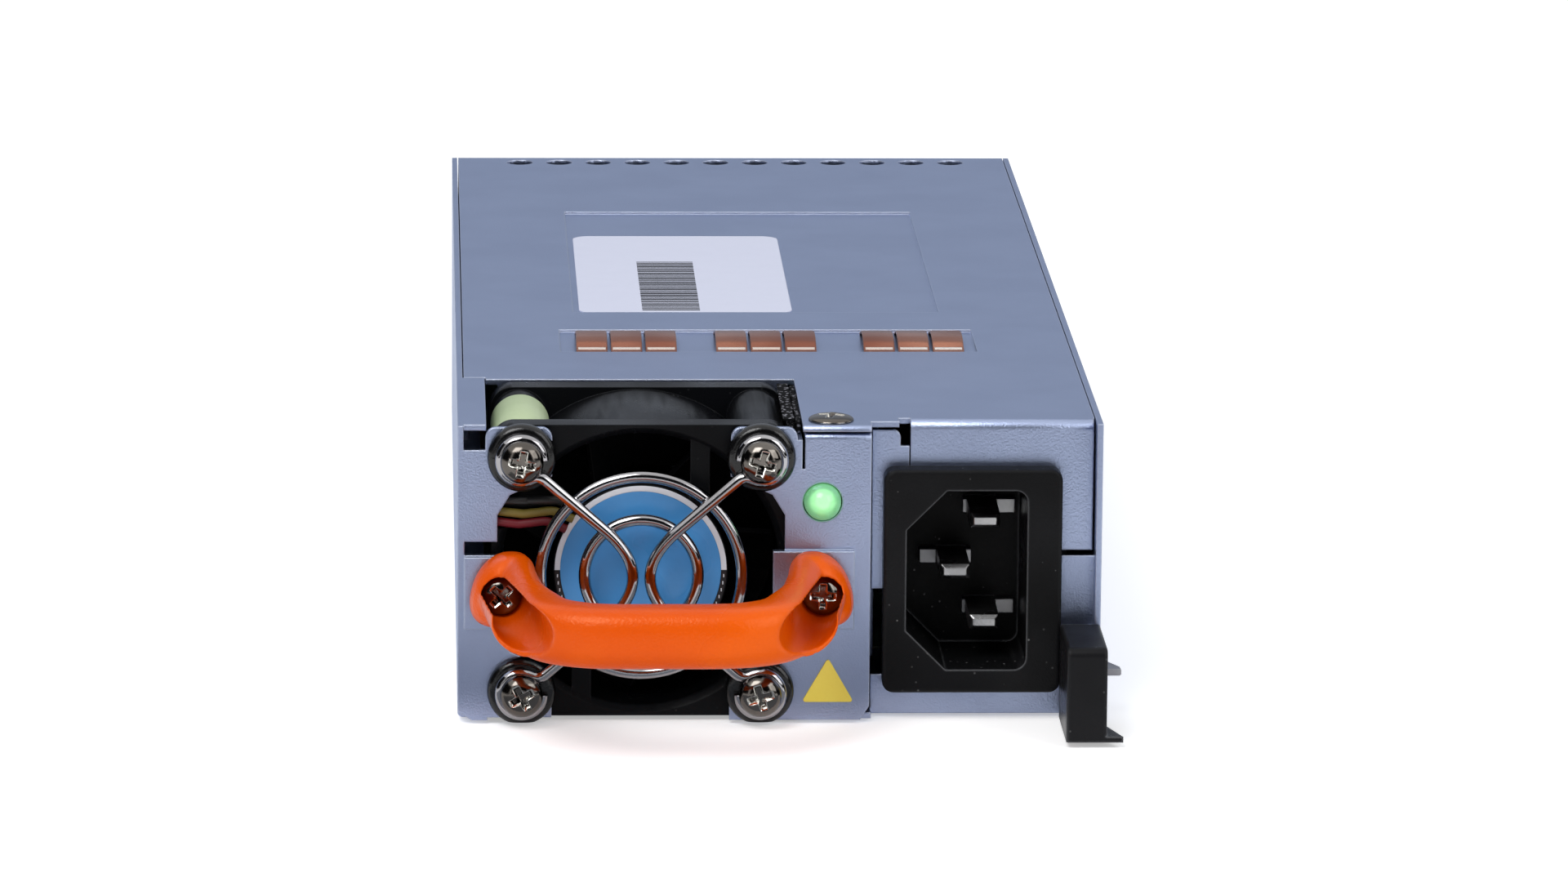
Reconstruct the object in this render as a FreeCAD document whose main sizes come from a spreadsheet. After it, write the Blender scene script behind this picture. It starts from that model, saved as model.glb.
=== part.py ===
"""Hot swap server power supply: a 1U sheet-metal module with a fan, a pull handle and an inlet.

Frame: millimetres, +X to the right seen from the front, +Y towards the rear connector, +Z up.
The origin is the centre of the case's bottom face.  Places are counted from the case's left
side, from its front plane and from its bottom, and turned into the frame by the helpers below.
"""
import FreeCAD, Part
import math
import os
import re

import Sketcher

# ---------------------------------------------------------------- sizes
SIZES = (
    # sheet-metal case
    ("case_width", 86.4, "outside width over both side walls"),
    ("case_length", 198.0, "front plane to the rear face"),
    ("case_height", 40.4, "bottom to the top of the cover"),
    ("sheet", 0.8, "thickness of all the sheet metal"),
    ("seam_gap", 0.15, "gap between neighbouring sheets"),
    ("bend_radius", 0.7, "outer radius of the bends"),
    ("cover_bend", 1.3, "outer radius of the bend to the cover's front flange"),
    ("wall_setback", 1.0, "right wall's front edge behind the front plane"),
    ("top_strip_width", 3.8, "strip turned in from the top of the left wall"),
    ("top_strip_length", 31.6, "how far that strip runs back"),
    ("cover_lip", 8.0, "height of the cover's side flanges"),
    ("cover_hem", 2.0, "depth of the turned-down rear edge of the fan window"),
    ("panel_seam", 21.8, "height of the top of the chassis' front flange"),
    ("panel_seam_gap", 0.8, "gap between the chassis' and the cover's front flanges"),
    ("panel_foot", 5.4, "height of the front flange's foot beside the front bracket"),
    # fan window and front bracket
    ("window_left", 4.0, "left edge of the fan window from the left side"),
    ("window_right", 46.1, "right edge of the fan window from the left side"),
    ("window_back_gap", 0.8, "gap behind the fan in its window"),
    ("bracket_left", 0.9, "left edge of the front bracket"),
    ("bracket_right", 55.3, "right edge of the front bracket"),
    ("bracket_pad_top", 37.1, "top of the pad left of the fan"),
    ("opening_side", 5.3, "straight side of the fan opening from the left side"),
    ("opening_side_height", 16.0, "height of that straight side"),
    ("opening_corner", 7.0, "corner of the fan opening from the left side"),
    ("opening_corner_height", 21.6, "height between those corners"),
    ("opening_height", 26.6, "height of the fan opening between the tabs' inner ends"),
    ("corner_relief", 1.9, "width of the cut at the lower corners of the front"),
    ("corner_relief_height", 1.2, "height of that cut"),
    ("tab_width", 8.9, "width of each corner tab"),
    ("tab_left", 3.7, "left edge of the left tabs"),
    ("tab_top", 40.2, "top of the corner tabs"),
    ("tab_relief", 1.0, "slot between the right tab and the lamp plate"),
    ("tab_relief_bottom", 34.5, "bottom of that slot"),
    ("pad_slot_bottom", 22.7, "slot above the left handle boss"),
    ("pad_slot_height", 1.9, "height of that slot"),
    ("boss_rise", 0.8, "how far the handle bosses stand forward"),
    ("boss_bottom", 12.7, "bottom of both handle bosses"),
    ("left_boss_width", 8.2, "width of the left boss"),
    ("left_boss_height", 9.9, "height of the left boss"),
    ("right_boss_width", 10.9, "width of the right boss"),
    ("right_boss_height", 10.7, "height of the right boss"),
    ("right_boss_left", 42.2, "left edge of the right boss"),
    ("bay_wall_depth", 28.0, "length of the bracket's wall beside the fan"),
    ("bracket_return", 33.0, "length of the bracket's right-hand wall"),
    ("bracket_shelf", 12.0, "depth of the shelf under the cover's front edge"),
    ("shelf_gap", 0.3, "gap between that shelf and the cover"),
    # inlet side of the front
    ("plate_setback", 3.6, "inlet plates behind the front plane"),
    ("inlet_bracket_gap", 0.3, "gap between the two brackets"),
    ("inlet_bracket_width", 4.5, "width of the plate left of the inlet"),
    ("inlet_bracket_step", 1.2, "width of the step in that plate's upper corner"),
    ("inlet_bracket_step_drop", 2.2, "height of that step"),
    ("inlet_bracket_bottom", 17.3, "bottom of that plate"),
    ("inlet_bracket_drop", 0.5, "top of that plate below the cover's sheet"),
    ("inlet_bracket_recess", 10.0, "setback of the dividing wall below that plate"),
    ("inlet_bracket_depth", 34.0, "length of the dividing wall"),
    # fan
    ("fan_size", 40.0, "square fan frame"),
    ("fan_bottom", 0.2, "bottom of the fan frame over the case's bottom"),
    ("fan_depth", 28.0, "depth of the fan"),
    ("fan_from_left", 24.54, "fan centre from the left side"),
    ("fan_hole_spacing", 32.0, "fan fixing holes"),
    ("fan_hole", 3.7, "diameter of the fan's fixing holes"),
    ("fan_flange", 3.6, "thickness of the frame's end flanges"),
    ("fan_corner", 3.0, "corner radius of the frame"),
    ("fan_bore", 37.4, "diameter of the air passage"),
    ("fan_barrel", 39.4, "outer diameter of the barrel"),
    ("fan_column", 7.4, "diameter of the corner columns"),
    ("motor_base", 23.4, "diameter of the motor base in the middle"),
    ("motor_base_depth", 2.4, "thickness of the motor base"),
    ("motor_base_inset", 0.5, "motor base behind the fan's front face"),
    ("strut_count", 4, "struts between motor base and barrel"),
    ("strut_width", 2.6, "width of the struts"),
    ("strut_offset", 6.6, "struts off the fan's centre line"),
    ("bearing_tube", 6.4, "outer diameter of the bearing tube"),
    ("bearing_bore", 5.0, "bore of the bearing tube"),
    ("bearing_tube_length", 15.0, "length of the bearing tube"),
    ("bearing_width", 3.0, "width of each bearing"),
    ("shaft_diameter", 2.0, "fan shaft"),
    ("shaft_inset", 0.6, "front end of the shaft behind the front of its first bearing"),
    ("shaft_fit", 0.05, "radial running clearance of the shaft in its bearings"),
    ("rotor_hub", 22.4, "outside diameter of the rotor cup"),
    ("rotor_wall", 0.9, "wall of the rotor cup"),
    ("rotor_gap", 0.6, "axial gap between motor base and rotor cup"),
    ("rotor_depth", 21.0, "length of the rotor cup"),
    ("magnet_wall", 1.2, "thickness of the magnet ring"),
    ("magnet_length", 12.0, "length of the magnet ring"),
    ("stator_diameter", 16.4, "diameter of the stator core"),
    ("stator_ring", 1.3, "core left between the bearing tube and the slots"),
    ("stator_length", 8.0, "length of the stator core"),
    ("blade_count", 7, "blades on the rotor"),
    ("blade_tip_gap", 0.5, "gap between the blade tips and the bore"),
    ("blade_thickness", 0.8, "thickness of a blade"),
    ("blade_root_pitch", 48.0, "degrees between a blade's root and the axis"),
    ("blade_tip_pitch", 62.0, "degrees between a blade's tip and the axis"),
    ("blade_chord", 17.0, "chord of a blade"),
    ("hub_label_thickness", 0.15, "thickness of the round hub label"),
    # rubber mounts, wire guard and fan screws
    ("grommet_rim", 9.2, "diameter of the rubber grommet's rim"),
    ("grommet_front", 1.6, "thickness of its front rim"),
    ("grommet_back", 1.0, "thickness of its back rim"),
    ("grommet_neck", 5.4, "diameter of its neck, and of the hole in the tab"),
    ("grommet_bore", 3.7, "bore of the grommet"),
    ("guard_wire", 1.6, "wire diameter of the finger guard"),
    ("wire_sides", 8, "faces round a wire or lead"),
    ("guard_outer_ring", 27.0, "centre line diameter of the outer ring"),
    ("guard_inner_ring", 15.2, "centre line diameter of the inner ring"),
    ("guard_eye", 5.6, "centre line diameter of the eyes"),
    ("guard_waist", 4.4, "distance between the two bent wires at mid height"),
    ("guard_bend", 9.0, "bend radius of the wires at mid height"),
    ("guard_weld", 0.15, "depth to which crossing wires are welded"),
    ("fan_screw_head", 5.8, "head diameter of the fan screws"),
    ("fan_screw_rise", 2.0, "head height of the fan screws"),
    ("fan_screw_shank", 3.5, "shank diameter of the fan screws"),
    ("fan_screw_length", 11.0, "shank length of the fan screws"),
    ("foam_fit", 0.05, "clearance around the foam pad"),
    ("foam_thickness", 0.7, "gap between the fan and the bracket's wall that the foam fills"),
    ("foam_height", 39.4, "height of the foam pad"),
    ("fan_lead", 1.2, "diameter of the fan's leads over the insulation"),
    ("lead_pitch", 1.4, "distance between the leads in their notch"),
    ("lead_notch_top", 31.2, "top of the notch for the leads in the frame"),
    ("lead_notch_height", 5.2, "height of that notch"),
    ("lead_end", 22.0, "rear end of the leads behind the front plane"),
    ("tape_thickness", 0.3, "tape wound round the upper left column"),
    ("tape_length", 16.0, "width of that tape"),
    # pull handle
    ("handle_screw_left", 5.8, "left handle screw from the left side"),
    ("handle_screw_spacing", 42.95, "distance between the handle screws"),
    ("handle_screw_height", 18.1, "height of the handle screws"),
    ("handle_reach", 28.0, "front of the grip ahead of the front plane"),
    ("handle_grip", 8.2, "height of the grip"),
    ("handle_thickness", 7.8, "depth of the grip"),
    ("handle_height", 17.4, "height of the grip's centre line"),
    ("handle_leg", 8.2, "width of a leg at the grip"),
    ("handle_leg_foot", 5.9, "width of a leg at its foot"),
    ("handle_root", 4.0, "outer side of the left leg at its foot"),
    ("handle_taper", 5.4, "how far each leg leans inwards"),
    ("handle_shoulder", 8.0, "outer corner radius of the grip seen from above"),
    ("handle_inner_corner", 4.5, "inner corner radius of the grip seen from above"),
    ("handle_round", 2.7, "rounding of the grip's long edges"),
    ("lobe_width", 8.4, "width of the screw lobes"),
    ("lobe_height", 11.0, "height of the screw lobes"),
    ("lobe_bottom", 13.3, "bottom of the screw lobes"),
    ("lobe_depth", 4.4, "depth of the screw lobes"),
    ("lobe_floor", 2.2, "plastic under the handle screw's head"),
    ("scoop_radius", 3.5, "radius of the screwdriver scoops"),
    ("handle_screw_head", 5.0, "head diameter of the handle screws"),
    ("handle_screw_rise", 2.0, "head height of the handle screws"),
    ("handle_screw_shank", 3.0, "shank diameter of the handle screws"),
    ("handle_screw_length", 4.5, "shank length of the handle screws"),
    # status lamp
    ("lamp_from_left", 48.8, "status lamp from the left side"),
    ("lamp_drop", 10.4, "status lamp below the top of the case"),
    ("lamp_diameter", 5.0, "diameter of the lamp's dome"),
    ("lamp_rise", 2.2, "dome ahead of the bracket"),
    ("lamp_body", 6.5, "lamp behind the bracket"),
    ("lamp_rim", 5.4, "diameter of the lamp's rim"),
    ("lamp_fit", 0.15, "radial clearance of the lamp in the bracket"),
    ("lamp_holder", 7.0, "width of the lamp holder"),
    # mains inlet
    ("inlet_left", 57.05, "left edge of the inlet's flange"),
    ("inlet_bottom", 3.5, "bottom edge of the inlet's flange"),
    ("inlet_width", 24.0, "width of the flange"),
    ("inlet_height", 30.7, "height of the flange"),
    ("inlet_flange", 3.0, "thickness of the flange"),
    ("inlet_corner", 1.6, "corner radius of the flange"),
    ("inlet_edge", 0.5, "rounding of the flange's front edge"),
    ("inlet_margin", 1.6, "body inside the flange's edge"),
    ("inlet_depth", 18.0, "length of the body behind the flange"),
    ("inlet_fit", 0.2, "clearance of the body in the plates"),
    ("socket_left", 60.15, "left edge of the socket's cavity"),
    ("socket_bottom", 6.75, "bottom edge of the cavity"),
    ("socket_width", 16.2, "width of the cavity"),
    ("socket_height", 24.6, "height of the cavity"),
    ("socket_slant", 5.4, "size of the two slanted corners"),
    ("socket_corner", 1.6, "radius of the two plain corners"),
    ("socket_depth", 16.4, "depth of the cavity"),
    ("pin_width", 4.0, "width of a contact blade"),
    ("pin_thickness", 2.0, "thickness of a contact blade"),
    ("pin_spacing", 14.0, "line to neutral"),
    ("pin_from_left", 71.03, "line and neutral blades from the left side"),
    ("earth_offset", 4.0, "earth blade to the left of the others"),
    ("pin_recess", 5.3, "blade tips behind the face of the inlet"),
    ("pin_bevel", 0.5, "bevel of the blade tips"),
    ("shoulder_width", 7.1, "shoulder of a blade at the cavity's floor"),
    ("shoulder_depth", 1.6, "how far the shoulder stands off the floor"),
    ("line_shoulder_shift", 1.1, "shoulder off the line and neutral blades' centre"),
    ("earth_shoulder_shift", 0.8, "shoulder off the earth blade's centre"),
    ("terminal_length", 7.0, "solder tab behind the inlet"),
    ("terminal_thickness", 0.8, "thickness of the solder tab"),
    ("pin_fit", 0.03, "clearance of the blades in the housing"),
    # release lever
    ("leaf_thickness", 0.6, "steel leaf of the release lever"),
    ("leaf_gap", 0.25, "gap between leaf and side wall"),
    ("leaf_bottom", 1.6, "bottom edge of the leaf"),
    ("leaf_height", 10.0, "height of the leaf"),
    ("leaf_root", 62.0, "bending root of the leaf behind the front plane"),
    ("leaf_tip", 10.0, "front end of the leaf ahead of the front plane"),
    ("anchor_length", 12.0, "riveted end of the leaf"),
    ("anchor_gap", 0.3, "gap between the leaf and its riveted end"),
    ("rivet_diameter", 2.4, "rivets of the leaf"),
    ("rivet_head", 4.2, "head diameter of the rivets"),
    ("tooth_reach", 3.1, "tooth beyond the side wall"),
    ("tooth_front", 3.2, "front face of the tooth behind the front plane"),
    ("tooth_length", 10.8, "length of the tooth at its root"),
    ("tooth_tip", 1.4, "length of the tooth at its tip"),
    ("tooth_height", 0.9, "height of the tooth"),
    ("tooth_bottom", 5.25, "bottom of the tooth"),
    ("tooth_slot_gap", 0.6, "clearance round the tooth in the side wall"),
    ("lever_inside", 3.85, "lever cap to the left of the leaf"),
    ("lever_width", 5.4, "width of the lever cap"),
    ("lever_bottom", 0.3, "bottom of the lever cap"),
    ("lever_height", 12.8, "height of the lever cap"),
    ("lever_reach", 14.0, "front of the lever cap ahead of the front plane"),
    ("lever_back_gap", 0.4, "gap between the lever cap and the inlet's face"),
    ("lever_round", 1.2, "rounding of the cap's top front edge"),
    ("lever_notch", 12.2, "height of the notch for the leaf in the front flange"),
    ("lever_lip", 2.2, "lip at the cap's lower front edge, to its right"),
    ("lever_lip_thickness", 0.8, "thickness of that lip"),
    # earthing fingers on the cover
    ("finger_count", 3, "fingers in a strip"),
    ("finger_width", 4.35, "width of a finger"),
    ("finger_pitch", 4.82, "distance between fingers"),
    ("finger_first", 16.7, "left edge of the first strip"),
    ("finger_second", 36.15, "left edge of the middle strip"),
    ("finger_third", 56.7, "left edge of the last strip"),
    ("finger_rise", 1.1, "top of the fingers above the cover"),
    ("finger_metal", 0.2, "thickness of the finger strip"),
    ("finger_foot", 1.0, "length of the strip's feet"),
    ("finger_recess_left", 14.5, "left edge of the recess for the strips"),
    ("finger_recess_front", 49.1, "front edge of that recess"),
    ("finger_recess_width", 57.9, "width of that recess"),
    ("finger_recess_length", 15.4, "length of that recess"),
    ("recess_depth", 0.4, "depth of both pressed recesses"),
    # label recess, labels, cover screw
    ("label_recess_left", 16.7, "left edge of the label recess"),
    ("label_recess_front", 76.9, "front edge of the label recess"),
    ("label_recess_width", 51.9, "width of the label recess"),
    ("label_recess_length", 76.2, "length of the label recess"),
    ("label_left", 17.6, "left edge of the label"),
    ("label_front", 77.6, "front edge of the label"),
    ("label_width", 30.3, "width of the label"),
    ("label_length", 57.6, "length of the label"),
    ("label_corner", 2.5, "corner radius of the label"),
    ("label_thickness", 0.15, "thickness of the labels"),
    ("sticker_left", 46.2, "left corner of the triangular sticker"),
    ("sticker_bottom", 2.5, "bottom edge of the triangular sticker"),
    ("sticker_width", 7.0, "width of the triangular sticker"),
    ("sticker_height", 6.1, "height of the triangular sticker"),
    ("cover_screw_left", 50.0, "cover screw from the left side"),
    ("cover_screw_back", 3.9, "cover screw behind the front plane"),
    ("cover_screw_head", 6.1, "head diameter of the cover screw"),
    ("cover_screw_shank", 3.0, "shank diameter of the cover screw"),
    ("cover_screw_length", 5.0, "shank length of the cover screw"),
    # air holes
    ("vent_hole", 4.04, "diameter of the air holes"),
    ("vent_pitch", 6.06, "distance between the air holes"),
    ("vent_count", 12, "air holes in the cover's row"),
    ("vent_first", 10.46, "first air hole from the left side"),
    ("vent_from_rear", 3.8, "row of air holes ahead of the rear face"),
    ("rear_vent_rows", 3, "rows of air holes in the rear panel"),
    ("rear_vent_columns", 7, "columns of air holes in the rear panel"),
    ("rear_vent_left", 40.0, "first column of the rear holes from the left side"),
    ("rear_vent_bottom", 20.0, "lowest row of the rear holes"),
    # rear connector
    ("tongue_left", 9.0, "left edge of the rear contact tongue"),
    ("tongue_width", 56.0, "width of the rear contact tongue"),
    ("tongue_reach", 8.0, "tongue behind the rear face"),
    ("tongue_gap", 2.0, "tongue board behind the output capacitors"),
    ("tongue_height", 12.0, "underside of the tongue"),
    ("tongue_slot_gap", 0.8, "clearance round the tongue in the rear panel"),
    ("pad_count", 16, "gilded contacts on each face of the tongue"),
    ("pad_pitch", 3.3, "distance between contacts"),
    ("pad_width", 2.4, "width of a contact"),
    ("pad_length", 6.4, "length of a contact"),
    ("pad_thickness", 0.05, "thickness of a contact"),
    # circuit board and what stands on it
    ("board_left", 5.0, "left edge of the main board"),
    ("board_right", 81.6, "right edge of the main board"),
    ("board_front", 38.0, "front edge of the main board"),
    ("board_rear_gap", 8.0, "rear edge of the main board ahead of the rear face"),
    ("board_thickness", 1.6, "circuit boards"),
    ("standoff_height", 4.2, "standoffs under the main board"),
    ("standoff_diameter", 5.0, "diameter of the standoffs"),
    ("standoff_inset", 5.0, "standoffs inside the board's corners"),
    ("board_screw_head", 5.0, "head diameter of the board screws"),
    ("board_screw_rise", 1.6, "head height of the board screws"),
    ("board_screw_shank", 2.6, "shank diameter of the board screws"),
    ("insulator_thickness", 0.4, "insulating sheet under the board"),
    ("fuse_diameter", 6.0, "mains fuse"),
    ("fuse_cap_wall", 0.3, "end caps over the fuse's glass"),
    ("fuse_length", 20.0, "length of the mains fuse"),
    ("fuse_left", 57.5, "left end of the fuse"),
    ("fuse_back", 48.0, "fuse behind the front plane"),
    ("fuse_lift", 1.5, "fuse above the board"),
    ("line_capacitor_left", 58.0, "left side of the line capacitor"),
    ("line_capacitor_front", 53.0, "front of the line capacitor"),
    ("line_capacitor_width", 18.0, "width of the line capacitor"),
    ("line_capacitor_depth", 9.0, "depth of the line capacitor"),
    ("line_capacitor_height", 16.0, "height of the line capacitor"),
    ("filter_choke_across", 68.0, "filter choke from the left side"),
    ("filter_choke_back", 75.0, "filter choke behind the front plane"),
    ("filter_choke_diameter", 23.0, "outer diameter of the filter choke"),
    ("filter_choke_bore", 9.0, "hole of the filter choke"),
    ("filter_choke_height", 13.0, "height of the filter choke"),
    ("boost_choke_back", 102.0, "boost choke behind the front plane"),
    ("boost_choke_diameter", 27.0, "outer diameter of the boost choke"),
    ("boost_choke_bore", 11.0, "hole of the boost choke"),
    ("boost_choke_height", 15.0, "height of the boost choke"),
    ("choke_turns", 12, "turns shown on a choke"),
    ("choke_wrap", 1.0, "winding over the ring core"),
    ("bulk_across", 66.5, "main capacitor from the left side"),
    ("bulk_front", 118.0, "front end of the main capacitor"),
    ("bulk_diameter", 27.0, "diameter of the main capacitor"),
    ("bulk_length", 45.0, "length of the main capacitor"),
    ("transformer_left", 12.0, "left side of the transformer"),
    ("transformer_front", 100.0, "front of the transformer"),
    ("transformer_width", 30.0, "width of the transformer"),
    ("transformer_length", 32.0, "length of the transformer"),
    ("transformer_height", 27.0, "height of the transformer"),
    ("core_leg", 6.0, "thickness of the core's legs"),
    ("output_can", 8.0, "diameter of the output capacitors"),
    ("output_can_height", 20.0, "height of the output capacitors"),
    ("output_can_count", 6, "output capacitors in their row"),
    ("output_can_pitch", 9.0, "distance between output capacitors"),
    ("output_can_first", 19.0, "first output capacitor from the left side"),
    ("output_can_gap", 1.0, "output capacitors behind the main capacitor"),
    ("heatsink_height", 26.0, "height of the heat sinks"),
    ("heatsink_web", 3.0, "thickness of a heat sink's web"),
    ("heatsink_length", 36.0, "length of a heat sink"),
    ("fin_count", 7, "fins on a heat sink"),
    ("fin_thickness", 1.0, "thickness of a fin"),
    ("fin_depth", 7.0, "depth of a fin"),
    ("primary_sink_left", 40.0, "left side of the front heat sink"),
    ("primary_sink_front", 56.0, "front of the front heat sink"),
    ("output_sink_left", 8.0, "left side of the rear heat sink"),
    ("output_sink_front", 56.0, "front of the rear heat sink"),
    ("transistor_width", 10.0, "width of a power transistor"),
    ("transistor_depth", 4.5, "depth of a power transistor"),
    ("transistor_height", 15.0, "height of a power transistor"),
    ("transistor_lift", 5.0, "power transistors above the board"),
    ("control_left", 46.5, "control board from the left side"),
    ("control_front", 104.0, "front edge of the control board"),
    ("control_length", 44.0, "length of the control board"),
    ("control_height", 22.0, "height of the control board"),
    ("mains_lead", 2.4, "diameter of the mains leads"),
)

DOC = FreeCAD.newDocument("hot_swap_power_supply")
SHEET = DOC.addObject("Spreadsheet::Sheet", "Sizes")
PARTS = []


def fill_sheet():
    """Write every driving size into the sheet: name, value and meaning, with the name as alias."""
    for row, (name, value, meaning) in enumerate(SIZES, start=1):
        SHEET.set(f"A{row}", name)
        SHEET.set(f"B{row}", str(value))
        SHEET.set(f"C{row}", meaning)
        SHEET.setAlias(f"B{row}", name)
    DOC.recompute()


fill_sheet()
ALIASES = {name for name, _, _ in SIZES}


def size(name):
    """The value that the sheet holds under this name."""
    return float(SHEET.get(name))


def count(name):
    """A whole number from the sheet."""
    return int(round(size(name)))


def bound(text):
    """Point each size name in an expression at its cell of the sheet."""
    return re.sub(r"[a-z_]+", lambda word: ("Sizes." if word.group() in ALIASES else "")
                  + word.group(), str(text))


# Places as expressions, counted from the left side and from the front plane.
def from_left(distance):
    """Expression for a place this far right of the case's left side."""
    return f"(-case_width / 2 + {distance})"


def from_front(distance):
    """Expression for a place this far behind the case's front plane."""
    return f"(-case_length / 2 + {distance})"


# The same places as numbers, for the shapes that code makes.
def x_at(distance):
    """Row X of a place this far right of the case's left side."""
    return distance - size("case_width") / 2


def y_at(distance):
    """Row Y of a place this far behind the case's front plane."""
    return distance - size("case_length") / 2


# Steps in which the guard's bend settles between its eye and its waist.
GUARD_STEPS = 30

# Radius of the ring on which an outline's corners start before their constraints place them.
OUTLINE_START = 20

# Expressions that several sub-parts share.
FAN_SETBACK = "(sheet + grommet_back)"
FAN_HEIGHT = "(fan_bottom + fan_size / 2)"
FAN_LEFT = from_left("fan_from_left")
TOP_SHEET = "(case_height - sheet)"
WINDOW_BACK = f"({FAN_SETBACK} + fan_depth + window_back_gap)"
SHELF = f"({TOP_SHEET} - sheet - shelf_gap)"
INLET_FACE = "(plate_setback - inlet_flange)"
DIVIDER = "(bracket_right + inlet_bracket_gap)"
BAY_WALL = "(fan_from_left + fan_size / 2 + foam_thickness)"
BOARD_TOP = "(sheet + standoff_height + board_thickness)"
LEAF_LEFT = "(case_width - sheet - leaf_gap - leaf_thickness)"
INLET_BRACKET_TOP = f"({TOP_SHEET} - inlet_bracket_drop)"
LAMP_HEIGHT = "(case_height - lamp_drop)"
TONGUE_FRONT = "(bulk_front + bulk_length + output_can_gap + output_can + tongue_gap)"
BOARD_BACK = "(case_length - board_rear_gap)"


def board_top():
    """Height of the main board's upper face."""
    return size("sheet") + size("standoff_height") + size("board_thickness")


def output_can_depth():
    """How far the output capacitors' axes stand behind the front plane."""
    return size("bulk_front") + size("bulk_length") + size("output_can_gap") + size("output_can") / 2


def fan_front():
    """Row Y of the fan's front face."""
    return y_at(size("sheet") + size("grommet_back"))


def fan_axis(depth):
    """The point on the fan's axis at this row Y."""
    return FreeCAD.Vector(x_at(size("fan_from_left")), depth,
                          size("fan_bottom") + size("fan_size") / 2)


def fan_corners():
    """Places of the four fan fixings, as (x, z) in the frame."""
    half = size("fan_hole_spacing") / 2
    centre = fan_axis(0)
    return [(centre.x + side * half, centre.z + level * half)
            for level in (1, -1) for side in (-1, 1)]


# ---------------------------------------------------------------- drawing helpers
# Each plane's role, and whether a pad has to be reversed to run towards +X, +Y or +Z.
UPRIGHT = ("XZ_Plane", True)
FLAT = ("XY_Plane", False)
SIDE = ("YZ_Plane", False)


def new_body(label):
    """An empty body that becomes one sub-part."""
    body = DOC.addObject("PartDesign::Body", label)
    body.Label = label
    PARTS.append(body)
    return body


def new_sketch(body, plane, at, centre=None):
    """A sketch on one of the body's own planes, this far along the frame's axis."""
    role, mirrored = plane
    sketch = body.newObject("Sketcher::SketchObject", "Profile")
    support = [item for item in body.Origin.OriginFeatures if item.Role == role][0]
    sketch.AttachmentSupport = [(support, "")]
    sketch.MapMode = "FlatFace"
    sketch.setExpression("AttachmentOffset.Base.z", bound(f"-({at})" if mirrored else at))
    if centre:
        sketch.setExpression("AttachmentOffset.Base.x", bound(centre[0]))
        sketch.setExpression("AttachmentOffset.Base.y", bound(centre[1]))
    return sketch


def hold(sketch, kind, geometry, point, expression):
    """Hold one coordinate of a sketch point at a size expression."""
    place = sketch.getPoint(geometry, point)
    value = place.x if kind == "DistanceX" else place.y
    index = sketch.addConstraint(Sketcher.Constraint(kind, -1, 1, geometry, point, value))
    sketch.setExpression(f"Constraints[{index}]", bound(expression))


def polygon(*corners):
    """A closed outline through corners that are each held at two expressions."""
    def draw(sketch):
        total = len(corners)
        start = [FreeCAD.Vector(math.cos(2 * math.pi * i / total),
                                math.sin(2 * math.pi * i / total), 0) * OUTLINE_START
                 for i in range(total)]
        lines = [sketch.addGeometry(Part.LineSegment(start[i], start[(i + 1) % total]))
                 for i in range(total)]
        for i in range(total):
            sketch.addConstraint(
                Sketcher.Constraint("Coincident", lines[i], 2, lines[(i + 1) % total], 1))
        for line, (across, along) in zip(lines, corners):
            hold(sketch, "DistanceX", line, 1, across)
            hold(sketch, "DistanceY", line, 1, along)
    return draw


def rectangle(low_x, low_y, high_x, high_y):
    """A rectangle between two opposite corners."""
    return polygon((low_x, low_y), (high_x, low_y), (high_x, high_y), (low_x, high_y))


def circle(centre_x, centre_y, diameter):
    """A circle held by its centre and its diameter."""
    def draw(sketch):
        start = FreeCAD.Vector(OUTLINE_START, OUTLINE_START, 0)
        ring = sketch.addGeometry(Part.Circle(start, FreeCAD.Vector(0, 0, 1), 3))
        hold(sketch, "DistanceX", ring, 3, centre_x)
        hold(sketch, "DistanceY", ring, 3, centre_y)
        index = sketch.addConstraint(Sketcher.Constraint("Diameter", ring, 6))
        sketch.setExpression(f"Constraints[{index}]", bound(diameter))
    return draw


def add(body, plane, at, length, *outlines, centre=None):
    """Pad outlines from a plane, towards +X, +Y or +Z."""
    sketch = new_sketch(body, plane, at, centre)
    for outline in outlines:
        outline(sketch)
    pad = body.newObject("PartDesign::Pad", "Pad")
    pad.Profile = sketch
    pad.setExpression("Length", bound(length))
    pad.Reversed = plane[1]
    DOC.recompute()
    return pad


def cut(body, plane, at, length, *outlines, centre=None):
    """Pocket outlines from a plane, towards +X, +Y or +Z, and check that metal came away."""
    before = body.Shape.Volume
    sketch = new_sketch(body, plane, at, centre)
    for outline in outlines:
        outline(sketch)
    pocket = body.newObject("PartDesign::Pocket", "Pocket")
    pocket.Profile = sketch
    pocket.setExpression("Length", bound(length))
    pocket.Reversed = not plane[1]
    DOC.recompute()
    if not body.Shape.Volume < before:
        raise ValueError(f"a pocket in {body.Label} removes nothing")
    return pocket


def repeat(body, feature, direction, pitch, number):
    """Repeat a feature in a row along its sketch's H_Axis or V_Axis."""
    row = body.newObject("PartDesign::LinearPattern", "Row")
    row.Originals = [feature]
    row.Direction = (feature.Profile[0], [direction])
    row.setExpression("Length", bound(f"({pitch}) * (({number}) - 1)"))
    row.setExpression("Occurrences", bound(number))
    body.Tip = row
    DOC.recompute()
    return row


def spin(body, feature, number):
    """Repeat a feature round the axis through its sketch's centre."""
    ring = body.newObject("PartDesign::PolarPattern", "Ring")
    ring.Originals = [feature]
    ring.Axis = (feature.Profile[0], ["N_Axis"])
    ring.Angle = 360
    ring.setExpression("Occurrences", bound(number))
    body.Tip = ring
    DOC.recompute()
    return ring


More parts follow.
